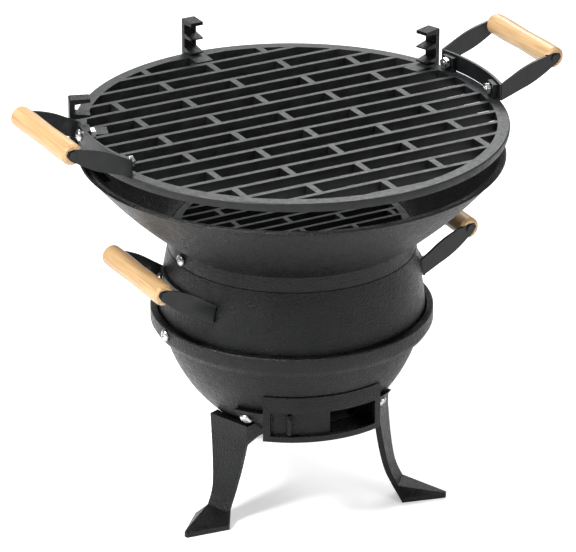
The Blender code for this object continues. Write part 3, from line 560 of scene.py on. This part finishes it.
def vent_housing():
    inner = BOWL_BOTTOM_R
    outline = [(inner, VENT_LOW_Z), (VENT_FACE_R, VENT_LOW_Z), (VENT_FACE_R, VENT_FACE_TOP_Z)]
    outline += [(radius_at(BOWL_CURVE, VENT_TOP_Z) + 0.001, VENT_TOP_Z), (inner, VENT_TOP_Z)]
    housing = sector(outline, VENT_HALF_ANGLE, 12)
    ear = [point for point in offset(BOWL_CURVE, GAP + EAR_THICKNESS)
           if abs(point[1] - VENT_SCREW_Z) < EAR_HALF_HEIGHT]
    ear_low, ear_high = VENT_SCREW_Z - EAR_HALF_HEIGHT, VENT_SCREW_Z + EAR_HALF_HEIGHT
    skin = offset(BOWL_CURVE, GAP + EAR_THICKNESS)
    inside = inner + EAR_THICKNESS
    ear = [(inside, ear_low), (radius_at(skin, ear_low), ear_low)] + ear
    ear += [(radius_at(skin, ear_high), ear_high), (inside, ear_high)]
    housing = boolean(housing, sector(ear, EAR_HALF_ANGLE, 18), "UNION")
    low, high = VENT_LOW_Z + VENT_WALL, VENT_FACE_TOP_Z - VENT_WALL
    track_back, track_front = SHUTTER_R - GAP, SHUTTER_R + SHUTTER_THICKNESS + GAP
    window = box_outline(track_front - GAP, VENT_FACE_R + 0.01,
                         VENT_LOW_Z + WINDOW_LIP, VENT_FACE_TOP_Z - WINDOW_LIP)
    housing = boolean(housing, sector(window, WINDOW_HALF_ANGLE, 12), "DIFFERENCE")
    housing = boolean(housing, sector(box_outline(track_back, track_front, low - 0.0018, high + 0.0018),
                                      VENT_HALF_ANGLE - 2.0, 12), "DIFFERENCE")
    housing = boolean(housing, sector(box_outline(inner - 0.01, track_back + GAP, low, high),
                                      VENT_HALF_ANGLE - 3.5, 12), "DIFFERENCE")
    room = [(0, BOWL_BOTTOM_Z - 0.02), (BOWL_BOTTOM_R + GAP, BOWL_BOTTOM_Z - 0.02)]
    room += offset(BOWL_CURVE, GAP)[1:] + [(0, BOWL_TOP_Z)]
    housing = boolean(housing, lathe(room), "DIFFERENCE")
    return boolean(housing, merged([hole_tool(*place) for place in vent_bolt_places()]), "DIFFERENCE")


def vent_shutter():
    low, high = VENT_LOW_Z + VENT_WALL - 0.0018 + GAP, VENT_FACE_TOP_Z - VENT_WALL + 0.0018 - GAP
    front = SHUTTER_R + SHUTTER_THICKNESS
    first, last = SHUTTER_ANGLES
    shutter = lathe(box_outline(SHUTTER_R, front, low, high), 24, VENT_AZIMUTH + first, VENT_AZIMUTH + last)
    half = SHUTTER_KNOB_WIDTH / 2
    knob_low, knob_high = VENT_LOW_Z + WINDOW_LIP + 0.001, VENT_FACE_TOP_Z - WINDOW_LIP - 0.001
    outline = [(front - 0.001, knob_low), (front + SHUTTER_KNOB_REACH, knob_low + 0.002),
               (front + SHUTTER_KNOB_REACH, knob_high - 0.004), (front - 0.001, knob_high)]
    knob = turned(plate(outline, -half, half), VENT_AZIMUTH + SHUTTER_KNOB_ANGLE)
    return boolean(shutter, knob, "UNION")


# ---- grates ------------------------------------------------------------------------------
def slots(radius, pitch, top_width, foot_width, tie_pitch, tie_width, low, high):
    """Tapered slots of a grate with bars along X: rows between bars, split by ties like bricks."""
    rows = int(radius / pitch) + 1
    columns = int(radius / tie_pitch) + 2
    parts = []
    taper = (foot_width - top_width) / 2
    for row in range(-rows, rows + 1):
        for column in range(-columns, columns + 1):
            if (row + column) % 2:
                continue
            x0, x1 = column * tie_pitch + tie_width / 2, (column + 2) * tie_pitch - tie_width / 2
            y0, y1 = row * pitch + top_width / 2, (row + 1) * pitch - top_width / 2
            near_x = min(abs(x0), abs(x1)) if x0 * x1 > 0 else 0
            near_y = min(abs(y0), abs(y1)) if y0 * y1 > 0 else 0
            if math.hypot(near_x, near_y) > radius - pitch / 5:
                continue
            corners = [(x, y, high) for x in (x0, x1) for y in (y0, y1)]
            corners += [(x, y, low) for x in (x0 + taper, x1 - taper) for y in (y0 + taper, y1 - taper)]
            parts.append(hull(corners))
    return merged(parts)


def grate(radius, ring_width, top, depth, keep, **pattern):
    """A round grate: a disc with slots cut through it, and the keep solids left whole."""
    reach = 0.002
    cutter = slots(radius - ring_width, low=top - depth - reach, high=top + reach, **pattern)
    inner = radius - ring_width
    limit = lathe([(0, top - depth - reach), (inner - 0.001, top - depth - reach),
                   (inner, top + reach), (0, top + reach)])
    cutter = boolean(cutter, limit, "INTERSECT")
    for solid in keep:
        cutter = boolean(cutter, solid, "DIFFERENCE")
    disc = lathe([(0, top - depth), (radius - 0.001, top - depth), (radius, top - depth * 0.5),
                  (radius, top - 0.0008), (radius - 0.0008, top), (0, top)])
    return boolean(disc, cutter, "DIFFERENCE")


def cooking_grate():
    low, high = GRATE_TOP_Z - GRATE_DEPTH - 0.004, GRATE_TOP_Z + 0.004
    pads = []
    for azimuth in POST_AZIMUTHS.values():
        inner = GRATE_R - GRATE_RING_WIDTH - PAD_REACH
        half = math.degrees(PAD_WIDTH / 2 / GRATE_R)
        pads.append(lathe(box_outline(inner, GRATE_R, low, high), 6, azimuth - half, azimuth + half))
    whole = grate(GRATE_R, GRATE_RING_WIDTH, GRATE_TOP_Z, GRATE_DEPTH, pads, pitch=BAR_PITCH,
                  top_width=BAR_TOP_WIDTH, foot_width=BAR_FOOT_WIDTH,
                  tie_pitch=TIE_PITCH, tie_width=TIE_WIDTH)
    strap = grate_strap()
    for azimuth in (0, 180):
        for seat, _, _ in strap_bolt_places(azimuth, strap):
            middle = math.degrees(math.atan2(seat.y, seat.x))
            half = math.degrees(BOLT_HEAD_R * 1.3 / GRATE_R)
            outer = strap["curve"][0][0] - GAP
            ear = [(outer - EAR_R_THICKNESS, GRATE_TOP_Z - 0.002), (outer, GRATE_TOP_Z - 0.002),
                   (outer, seat.z + BOLT_HEAD_R), (outer - EAR_R_THICKNESS, seat.z + BOLT_HEAD_R)]
            whole = boolean(whole, lathe(ear, 6, middle - half, middle + half), "UNION")
    holes = [hole_tool(*place) for azimuth in (0, 180) for place in strap_bolt_places(azimuth, strap)]
    return boolean(whole, merged(holes), "DIFFERENCE")


def charcoal_grate():
    top = NECK_TOP_Z + GAP + COAL_DEPTH
    return grate(COAL_R, COAL_RING_WIDTH, top, COAL_DEPTH, [], pitch=COAL_BAR_PITCH,
                 top_width=COAL_BAR_TOP_WIDTH, foot_width=COAL_BAR_FOOT_WIDTH,
                 tie_pitch=COAL_TIE_PITCH, tie_width=COAL_TIE_WIDTH)


# ---- notched posts -----------------------------------------------------------------------
def post(azimuth):
    outer = POST_OUTER_R
    root = outer - POST_BACK
    tip = root - TOOTH_REACH
    shelf = GRATE_TOP_Z - GRATE_DEPTH - GAP
    foot_low = DISH_RIM_Z - POST_FOOT
    post_top = shelf + NOTCH_COUNT * (NOTCH_HEIGHT + TOOTH_HEIGHT)
    outline = [(outer, DISH_RIM_Z + GAP), (outer, post_top - 0.001), (outer - 0.001, post_top)]
    for level in reversed(range(NOTCH_COUNT)):
        floor = shelf + level * (NOTCH_HEIGHT + TOOTH_HEIGHT)
        top = floor + NOTCH_HEIGHT + TOOTH_HEIGHT
        drop = 0 if level == NOTCH_COUNT - 1 else TOOTH_SLOPE
        outline += [(tip, top - drop), (tip, floor + NOTCH_HEIGHT + TOOTH_SLOPE)]
        outline += [(root, floor + NOTCH_HEIGHT)]
        outline += [(root, floor)]
    outline += [(tip, shelf), (tip, shelf - POST_SHELF)]
    slope = radius_at(DISH_INSIDE, foot_low) - POST_FOOT_THICKNESS
    outline += [(radius_at(DISH_INSIDE, DISH_RIM_Z - 0.004) - POST_FOOT_THICKNESS, DISH_RIM_Z - 0.004)]
    outline += [(slope, foot_low), (radius_at(DISH_CURVE, foot_low), foot_low)]
    outline += [(radius_at(DISH_CURVE, DISH_RIM_Z - 0.004), DISH_RIM_Z - 0.004)]
    outline += [(DISH_RIM_R, DISH_RIM_Z + GAP)]
    body = plate(outline, -POST_WIDTH / 2, POST_WIDTH / 2)
    room = [(SKIRT_R, RING_SHOULDER_Z)] + offset(DISH_CURVE, 0.012)
    room[-1] = (POST_OUTER_R + 0.002, DISH_RIM_Z + GAP)
    room += [(DISH_RIM_R - DISH_WALL - GAP, DISH_RIM_Z + GAP)]
    room += list(reversed(offset(DISH_INSIDE, -GAP)[:-1]))
    body = boolean(body, lathe(room), "DIFFERENCE")
    seat, normal, grip = post_bolt_place(0)
    return turned(boolean(body, hole_tool(seat, normal, grip), "DIFFERENCE"), azimuth)


# ---- handles -----------------------------------------------------------------------------
def grate_strap():
    radius = GRATE_R - 0.0015
    return {"curve": [(radius, GRATE_STRAP_Z), (radius, GRATE_STRAP_Z + STRAP_HEIGHT)],
            "grip": (GRATE_GRIP_R, GRATE_GRIP_Z), "wall": EAR_R_THICKNESS}


def body_strap():
    low, high = BODY_STRAP_Z, BODY_STRAP_Z + STRAP_HEIGHT
    curve = [(radius_at(RING_CURVE, height) + GAP, height) for height in (low, high)]
    return {"curve": curve, "grip": (BODY_GRIP_R, BODY_GRIP_Z), "wall": RING_WALL}


def strap_bolt_places(azimuth, strap):
    (r0, z0), (r1, z1) = strap["curve"]
    height = (z0 + z1) / 2
    radius = (r0 + r1) / 2
    swing = math.degrees(math.asin(STRAP_BOLT_OFFSET / radius))
    curve = [(r0, z0), (r1, z1)]
    return [wall_place(azimuth + side * swing, curve, height, strap["wall"] + GAP, STRAP_THICKNESS)
            for side in (-1, 1)]


def arm_outline(strap):
    (r0, z0), (r1, z1) = strap["curve"]
    grip_r, grip_z = strap["grip"]
    far = ARM_OFFSET + ARM_THICKNESS
    foot0 = math.sqrt((r0 + STRAP_THICKNESS / 2) ** 2 - far ** 2)
    foot1 = math.sqrt((r1 + STRAP_THICKNESS / 2) ** 2 - far ** 2)
    root = Vector(((foot0 + foot1) / 2, (z0 + z1) / 2))
    tip = Vector((grip_r, grip_z))
    along = (tip - root).normalized()
    across = Vector((-along.y, along.x))
    under, over = [], []
    for share in ARM_SHARES:
        half = ARM_TIP_WIDTH / 2 * (1 + ARM_LEAF * math.sin(math.pi * share))
        middle = root.lerp(tip, share)
        under.append(tuple(middle - across * half))
        over.append(tuple(middle + across * half))
    nose = tip + along * ARM_TIP_WIDTH / 2
    end = [tuple(tip - across * ARM_TIP_WIDTH / 2), tuple(nose - across * ARM_TIP_WIDTH * 0.2),
           tuple(nose + across * ARM_TIP_WIDTH * 0.2), tuple(tip + across * ARM_TIP_WIDTH / 2)]
    return [(foot0, z0)] + under + end + list(reversed(over)) + [(foot1, z1)]


def bracket(azimuth, strap):
    (r0, z0), (r1, z1) = strap["curve"]
    swing = math.degrees(math.asin((ARM_OFFSET + ARM_THICKNESS / 2) / r1))
    outline = [(r0, z0), (r0 + STRAP_THICKNESS, z0), (r1 + STRAP_THICKNESS, z1), (r1, z1)]
    body = lathe(outline, 40, -swing, swing)
    for side in (-1, 1):
        low, high = sorted((side * ARM_OFFSET, side * (ARM_OFFSET + ARM_THICKNESS)))
        body = boolean(body, plate(arm_outline(strap), low, high), "UNION")
    holes = [hole_tool(*place) for place in strap_bolt_places(0, strap)]
    rod_hole = lathe([(0, -GRIP_LENGTH / 2), (ROD_R + GAP, -GRIP_LENGTH / 2), (ROD_R + GAP, GRIP_LENGTH / 2),
                      (0, GRIP_LENGTH / 2)], BOLT_STEPS)
    grip_r, grip_z = strap["grip"]
    holes.append(aimed(rod_hole, Vector((grip_r, 0, grip_z)), (0, 1, 0)))
    return turned(boolean(body, merged(holes), "DIFFERENCE"), azimuth)


def grip(azimuth, strap):
    half = GRIP_LENGTH / 2
    inside = ROD_R + GAP
    waist = GRIP_R * 0.90
    profile = [(inside, -half), (GRIP_R - GRIP_ROUND, -half)]
    profile += [(GRIP_R * 0.97, -half + GRIP_ROUND), (GRIP_R, -half * 0.6)]
    profile += [(waist + GRIP_R * 0.04, 0), (GRIP_R, half * 0.6), (GRIP_R * 0.97, half - GRIP_ROUND)]
    profile += [(GRIP_R - GRIP_ROUND, half), (inside, half)]
    grip_r, grip_z = strap["grip"]
    body = aimed(lathe(profile, GRIP_STEPS), Vector((grip_r, 0, grip_z)), (0, 1, 0))
    outline = [Vector(point) for point in arm_outline(strap)]
    middle = sum(outline, Vector((0, 0))) / len(outline)
    room = [tuple(point + (point - middle).normalized() * 0.0008) for point in outline]
    for side in (-1, 1):
        low, high = sorted((side * (ARM_OFFSET - GAP), side * (half + 0.002)))
        body = boolean(body, plate(room, low, high), "DIFFERENCE")
    return turned(body, azimuth)


def grip_rod(azimuth, strap):
    half = ARM_OFFSET + ARM_THICKNESS + GAP
    head = ROD_R * 1.7
    profile = [(0, -half - 0.0009), (head, -half - 0.0009), (head, -half), (ROD_R, -half)]
    profile += [(ROD_R, half), (head, half), (head, half + 0.0009), (0, half + 0.0009)]
    grip_r, grip_z = strap["grip"]
    return turned(aimed(lathe(profile, BOLT_STEPS), Vector((grip_r, 0, grip_z)), (0, 1, 0)), azimuth)


# ---- materials ---------------------------------------------------------------------------
class Shader:
    """A Principled material with short calls for the nodes that feed it."""

    def __init__(self, name, roughness, metallic=0.0, specular=0.5):
        self.material = bpy.data.materials.new(name)
        self.material.use_nodes = True
        self.tree = self.material.node_tree
        self.principled = self.tree.nodes["Principled BSDF"]
        self.principled.inputs["Roughness"].default_value = roughness
        self.principled.inputs["Metallic"].default_value = metallic
        self.principled.inputs["Specular IOR Level"].default_value = specular
        self.place = self.tree.nodes.new("ShaderNodeTexCoord").outputs["Object"]

    def link(self, source, target):
        self.tree.links.new(source, target)
        return source

    def noise(self, scale, detail=3.0, stretch=(1, 1, 1)):
        mapping = self.tree.nodes.new("ShaderNodeMapping")
        mapping.inputs["Scale"].default_value = stretch
        self.link(self.place, mapping.inputs["Vector"])
        node = self.tree.nodes.new("ShaderNodeTexNoise")
        node.inputs["Scale"].default_value = scale
        node.inputs["Detail"].default_value = detail
        self.link(mapping.outputs["Vector"], node.inputs["Vector"])
        return node.outputs["Fac"]

    def ramp(self, source, stops):
        node = self.tree.nodes.new("ShaderNodeValToRGB")
        first, last = node.color_ramp.elements
        first.position, first.color = stops[0][0], (*stops[0][1], 1)
        last.position, last.color = stops[-1][0], (*stops[-1][1], 1)
        for position, colour in stops[1:-1]:
            node.color_ramp.elements.new(position).color = (*colour, 1)
        self.link(source, node.inputs["Fac"])
        return node.outputs["Color"]

    def mix(self, factor, low, high):
        node = self.tree.nodes.new("ShaderNodeMix")
        node.data_type = "RGBA"
        self.link(factor, node.inputs[0])
        self.link(low, node.inputs[6])
        self.link(high, node.inputs[7])
        return node.outputs[2]

    def spread(self, source, low, high):
        node = self.tree.nodes.new("ShaderNodeMapRange")
        node.inputs["To Min"].default_value = low
        node.inputs["To Max"].default_value = high
        node.inputs["From Min"].default_value = 0.3
        node.inputs["From Max"].default_value = 0.7
        self.link(source, node.inputs["Value"])
        return node.outputs["Result"]

    def upward(self):
        """0 on sides and undersides, 1 on top faces."""
        geometry = self.tree.nodes.new("ShaderNodeNewGeometry")
        split = self.tree.nodes.new("ShaderNodeSeparateXYZ")
        self.link(geometry.outputs["Normal"], split.inputs["Vector"])
        node = self.tree.nodes.new("ShaderNodeMapRange")
        node.inputs["From Min"].default_value = 0.6
        node.inputs["From Max"].default_value = 0.95
        self.link(split.outputs["Z"], node.inputs["Value"])
        return node.outputs["Result"]

    def bump(self, source, distance, strength=1.0, over=None):
        node = self.tree.nodes.new("ShaderNodeBump")
        node.inputs["Distance"].default_value = distance
        node.inputs["Strength"].default_value = strength
        self.link(source, node.inputs["Height"])
        if over:
            self.link(over, node.inputs["Normal"])
        self.link(node.outputs["Normal"], self.principled.inputs["Normal"])
        return node.outputs["Normal"]

    def colour(self, source):
        self.link(source, self.principled.inputs["Base Color"])

    def roughness(self, source):
        self.link(source, self.principled.inputs["Roughness"])


def cast_iron(name, dark, light, brushed=False):
    shader = Shader(name, 0.5, specular=0.32)
    shader.colour(shader.ramp(shader.noise(60, 5), [(0.35, dark), (0.7, light)]))
    shader.roughness(shader.spread(shader.noise(240, 4), 0.24, 0.44))
    grain = shader.bump(shader.noise(620, 4), 0.0011, 0.9)
    if brushed:
        shader.bump(shader.noise(9, 4, (1, 1, 60)), 0.0006, 0.35, grain)
    else:
        shader.bump(shader.noise(110, 3), 0.0008, 0.25, grain)
    return shader.material


def grate_iron():
    shader = Shader("grate_iron", 0.45, specular=0.4)
    base = shader.ramp(shader.noise(70, 4), [(0.35, (0.003, 0.0032, 0.0036)), (0.7, (0.009, 0.0095, 0.010))])
    # Top faces get a lighter colour: painted sheen, light from above painted into the grate's colour.
    top_sheen = shader.ramp(shader.noise(160, 4), [(0.35, (0.010, 0.011, 0.012)), (0.7, (0.034, 0.036, 0.039))])
    shader.colour(shader.mix(shader.upward(), base, top_sheen))
    shader.roughness(shader.spread(shader.noise(260, 4), 0.34, 0.55))
    grain = shader.bump(shader.noise(700, 3), 0.0004, 0.5)
    shader.bump(shader.noise(120, 3), 0.0008, 0.3, grain)
    return shader.material


def black_sheet():
    shader = Shader("black_sheet", 0.4, specular=0.5)
    tones = [(0.3, (0.004, 0.0045, 0.005)), (0.7, (0.009, 0.010, 0.011))]
    shader.colour(shader.ramp(shader.noise(80, 3), tones))
    shader.roughness(shader.spread(shader.noise(120, 3), 0.32, 0.46))
    shader.bump(shader.noise(500, 2), 0.0002, 0.3)
    return shader.material


def zinc_steel():
    shader = Shader("zinc_steel", 0.3, metallic=1.0)
    shader.colour(shader.ramp(shader.noise(200, 3), [(0.3, (0.60, 0.61, 0.62)), (0.7, (0.80, 0.80, 0.79))]))
    shader.roughness(shader.spread(shader.noise(400, 3), 0.22, 0.38))
    shader.bump(shader.noise(600, 2), 0.0001, 0.3)
    return shader.material


def varnished_wood():
    shader = Shader("wood", 0.42, specular=0.5)
    shader.principled.inputs["Coat Weight"].default_value = 0.25
    shader.principled.inputs["Coat Roughness"].default_value = 0.25
    broad_tones = [(0.3, (0.45, 0.26, 0.11)), (0.5, (0.60, 0.38, 0.18)), (0.72, (0.72, 0.50, 0.27))]
    fine_tones = [(0.42, (0.34, 0.18, 0.07)), (0.55, (0.64, 0.42, 0.21))]
    broad = shader.ramp(shader.noise(90, 4, (1, 0.09, 1)), broad_tones)
    fine = shader.ramp(shader.noise(600, 3, (1, 0.04, 1)), fine_tones)
    speck = shader.spread(shader.noise(300, 2, (1, 0.06, 1)), 0.5, 0.0)
    shader.colour(shader.mix(speck, broad, fine))
    shader.roughness(shader.spread(shader.noise(200, 3, (1, 0.1, 1)), 0.36, 0.5))
    shader.bump(shader.noise(500, 3, (1, 0.05, 1)), 0.0002, 0.25)
    return shader.material


IRON = cast_iron("cast_iron", (0.0016, 0.0018, 0.0021), (0.0050, 0.0054, 0.0060))
TURNED_IRON = cast_iron("turned_iron", (0.0016, 0.0018, 0.0021), (0.0048, 0.0052, 0.0058), brushed=True)
GRATE_IRON = grate_iron()
SHEET = black_sheet()
STEEL = zinc_steel()
WOOD = varnished_wood()


# ---- pieces ------------------------------------------------------------------------------
BODY_OF = {node: body for body, nodes in frame["record"]["behaviour"]["bodies"].items() for node in nodes}


def show(node, bm, material, bevel=0.0, smooth=32.0):
    """Shows a fine mesh in place of a CAD node."""
    bmesh.ops.translate(bm, verts=bm.verts, vec=(0, AXIS_Y, 0))
    mesh = bpy.data.meshes.new(node + "_fine")
    bm.to_mesh(mesh)
    bm.free()
    mesh.shade_smooth()
    mesh.set_sharp_from_angle(angle=math.radians(smooth))
    mesh.materials.append(material)
    piece = bpy.data.objects.new(node + "_fine", mesh)
    bpy.context.collection.objects.link(piece)
    if bevel:
        rounding = piece.modifiers.new("rounding", "BEVEL")
        rounding.width = bevel
        rounding.segments = 2
        rounding.limit_method = "ANGLE"
        rounding.angle_limit = math.radians(40)
    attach(piece, BODY_OF[node])
    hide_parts(node)
    return piece


def show_fasteners(name, places, tapped=False):
    for number, place in enumerate(places, 1):
        show(f"{name}_bolt_{number}", bolt(*place, tapped), STEEL, 0.0002)
        if not tapped:
            show(f"{name}_nut_{number}", nut(*place), STEEL, 0.0003)


def make_grill():
    show("lower_bowl", lower_bowl(), IRON, 0.0005)
    show("middle_ring", middle_ring(), IRON)
    show("upper_dish", upper_dish(), TURNED_IRON, 0.0005)
    show_fasteners("neck", neck_bolt_places(), tapped=True)
    show_fasteners("collar", collar_bolt_places(), tapped=True)
    for name, azimuth in LEG_AZIMUTHS.items():
        show(f"leg_{name}", leg(azimuth), IRON, 0.0016)
    show_fasteners("leg", leg_bolt_places(), tapped=True)
    show("vent_housing", vent_housing(), IRON, 0.0006)
    show("vent_shutter", vent_shutter(), IRON, 0.0004)
    show_fasteners("vent", vent_bolt_places())
    for name, azimuth in POST_AZIMUTHS.items():
        show(f"post_{name}", post(azimuth), IRON, 0.0007)
    show_fasteners("post", post_bolt_places())
    show("charcoal_grate", charcoal_grate(), GRATE_IRON, 0.0004)
    show("cooking_grate", cooking_grate(), GRATE_IRON, 0.0006)
    for kind, strap in (("grate", grate_strap()), ("body", body_strap())):
        for side, azimuth in (("right", 0), ("left", 180)):
            show(f"{kind}_bracket_{side}", bracket(azimuth, strap), SHEET, 0.0005)
            show(f"{kind}_grip_{side}", grip(azimuth, strap), WOOD, 0.0004)
            show(f"{kind}_rod_{side}", grip_rod(azimuth, strap), SHEET, 0.0002)
            show_fasteners(f"{kind}_{side}", strap_bolt_places(azimuth, strap))


# ---- stage -------------------------------------------------------------------------------
VIEW_DISTANCE = 3.427           # camera to the middle of the cooking grate
VIEW_TILT_ANGLE = 0.3788        # radians above the horizon
VIEW_TURN = -29.1               # the photograph's view direction from the model's own front
VIEW_YAW = 0.0009
VIEW_PITCH = -0.0372
VIEW_ROLL = -0.0026
LENS = 262.6
SENSOR = 36.0
FLOOR_GLOW = 0.40               # keeps the floor white to the camera, with a soft shadow
AMBIENT = 0.32                  # light from all round; the camera itself sees white


def make_camera():
    target = Vector((0, AXIS_Y, GRATE_TOP_Z))
    offset_to_eye = Vector((0, -math.cos(VIEW_TILT_ANGLE), math.sin(VIEW_TILT_ANGLE))) * VIEW_DISTANCE
    forward = -offset_to_eye.normalized()
    right = Vector((1, 0, 0))
    upward = right.cross(forward)
    yaw = Matrix.Rotation(VIEW_YAW, 3, upward)
    forward, right = yaw @ forward, yaw @ right
    pitch = Matrix.Rotation(VIEW_PITCH, 3, right)
    forward, upward = pitch @ forward, pitch @ upward
    roll = Matrix.Rotation(VIEW_ROLL, 3, forward)
    right, upward = roll @ right, roll @ upward
    turn = Matrix.Rotation(math.radians(VIEW_TURN), 3, "Z")
    basis = turn @ Matrix((right, upward, -forward)).transposed()
    data = bpy.data.cameras.new("view")
    data.sensor_width = SENSOR
    data.lens = LENS
    data.clip_end = 50
    camera = bpy.data.objects.new("view", data)
    bpy.context.collection.objects.link(camera)
    camera.matrix_world = Matrix.Translation(target + turn @ offset_to_eye) @ basis.to_4x4()
    bpy.context.scene.camera = camera


def make_light(name, azimuth, elevation, distance, size, energy):
    data = bpy.data.lights.new(name, "AREA")
    data.shape = "DISK"
    data.size = size
    data.energy = energy
    light = bpy.data.objects.new(name, data)
    bpy.context.collection.objects.link(light)
    across = math.cos(math.radians(elevation)) * distance
    angle = math.radians(azimuth + VIEW_TURN)
    light.location = (across * math.cos(angle), across * math.sin(angle),
                      0.2 + math.sin(math.radians(elevation)) * distance)
    direction = Vector((0, 0, 0.2)) - light.location
    light.rotation_euler = direction.to_track_quat("-Z", "Y").to_euler()


def make_stage():
    bm = bmesh.new()
    bmesh.ops.create_grid(bm, x_segments=1, y_segments=1, size=8.0)
    mesh = bpy.data.meshes.new("floor")
    bm.to_mesh(mesh)
    bm.free()
    floor = bpy.data.objects.new("floor", mesh)
    floor.location.z = -0.0005
    bpy.context.collection.objects.link(floor)
    shader = Shader("floor", 0.9, specular=0.1)
    shader.principled.inputs["Base Color"].default_value = (0.93, 0.93, 0.93, 1)
    path = shader.tree.nodes.new("ShaderNodeLightPath")
    glow = shader.tree.nodes.new("ShaderNodeMapRange")
    glow.inputs["To Max"].default_value = FLOOR_GLOW
    shader.link(path.outputs["Is Camera Ray"], glow.inputs["Value"])
    shader.principled.inputs["Emission Color"].default_value = (1, 1, 1, 1)
    shader.link(glow.outputs["Result"], shader.principled.inputs["Emission Strength"])
    mesh.materials.append(shader.material)
    world = bpy.data.worlds.new("studio")
    bpy.context.scene.world = world
    world.use_nodes = True
    background = world.node_tree.nodes["Background"]
    background.inputs["Color"].default_value = (1, 1, 1, 1)
    path = world.node_tree.nodes.new("ShaderNodeLightPath")
    strength = world.node_tree.nodes.new("ShaderNodeMapRange")
    strength.inputs["To Min"].default_value = AMBIENT
    strength.inputs["To Max"].default_value = 1.0
    world.node_tree.links.new(path.outputs["Is Camera Ray"], strength.inputs["Value"])
    world.node_tree.links.new(strength.outputs["Result"], background.inputs["Strength"])
    make_light("key", -140, 48, 2.0, 0.55, 50)
    make_light("fill", -35, 35, 2.2, 1.4, 12)
    make_light("back", 80, 45, 2.2, 1.2, 30)
    bpy.context.scene.view_settings.view_transform = "Standard"


make_camera()
make_stage()
make_grill()
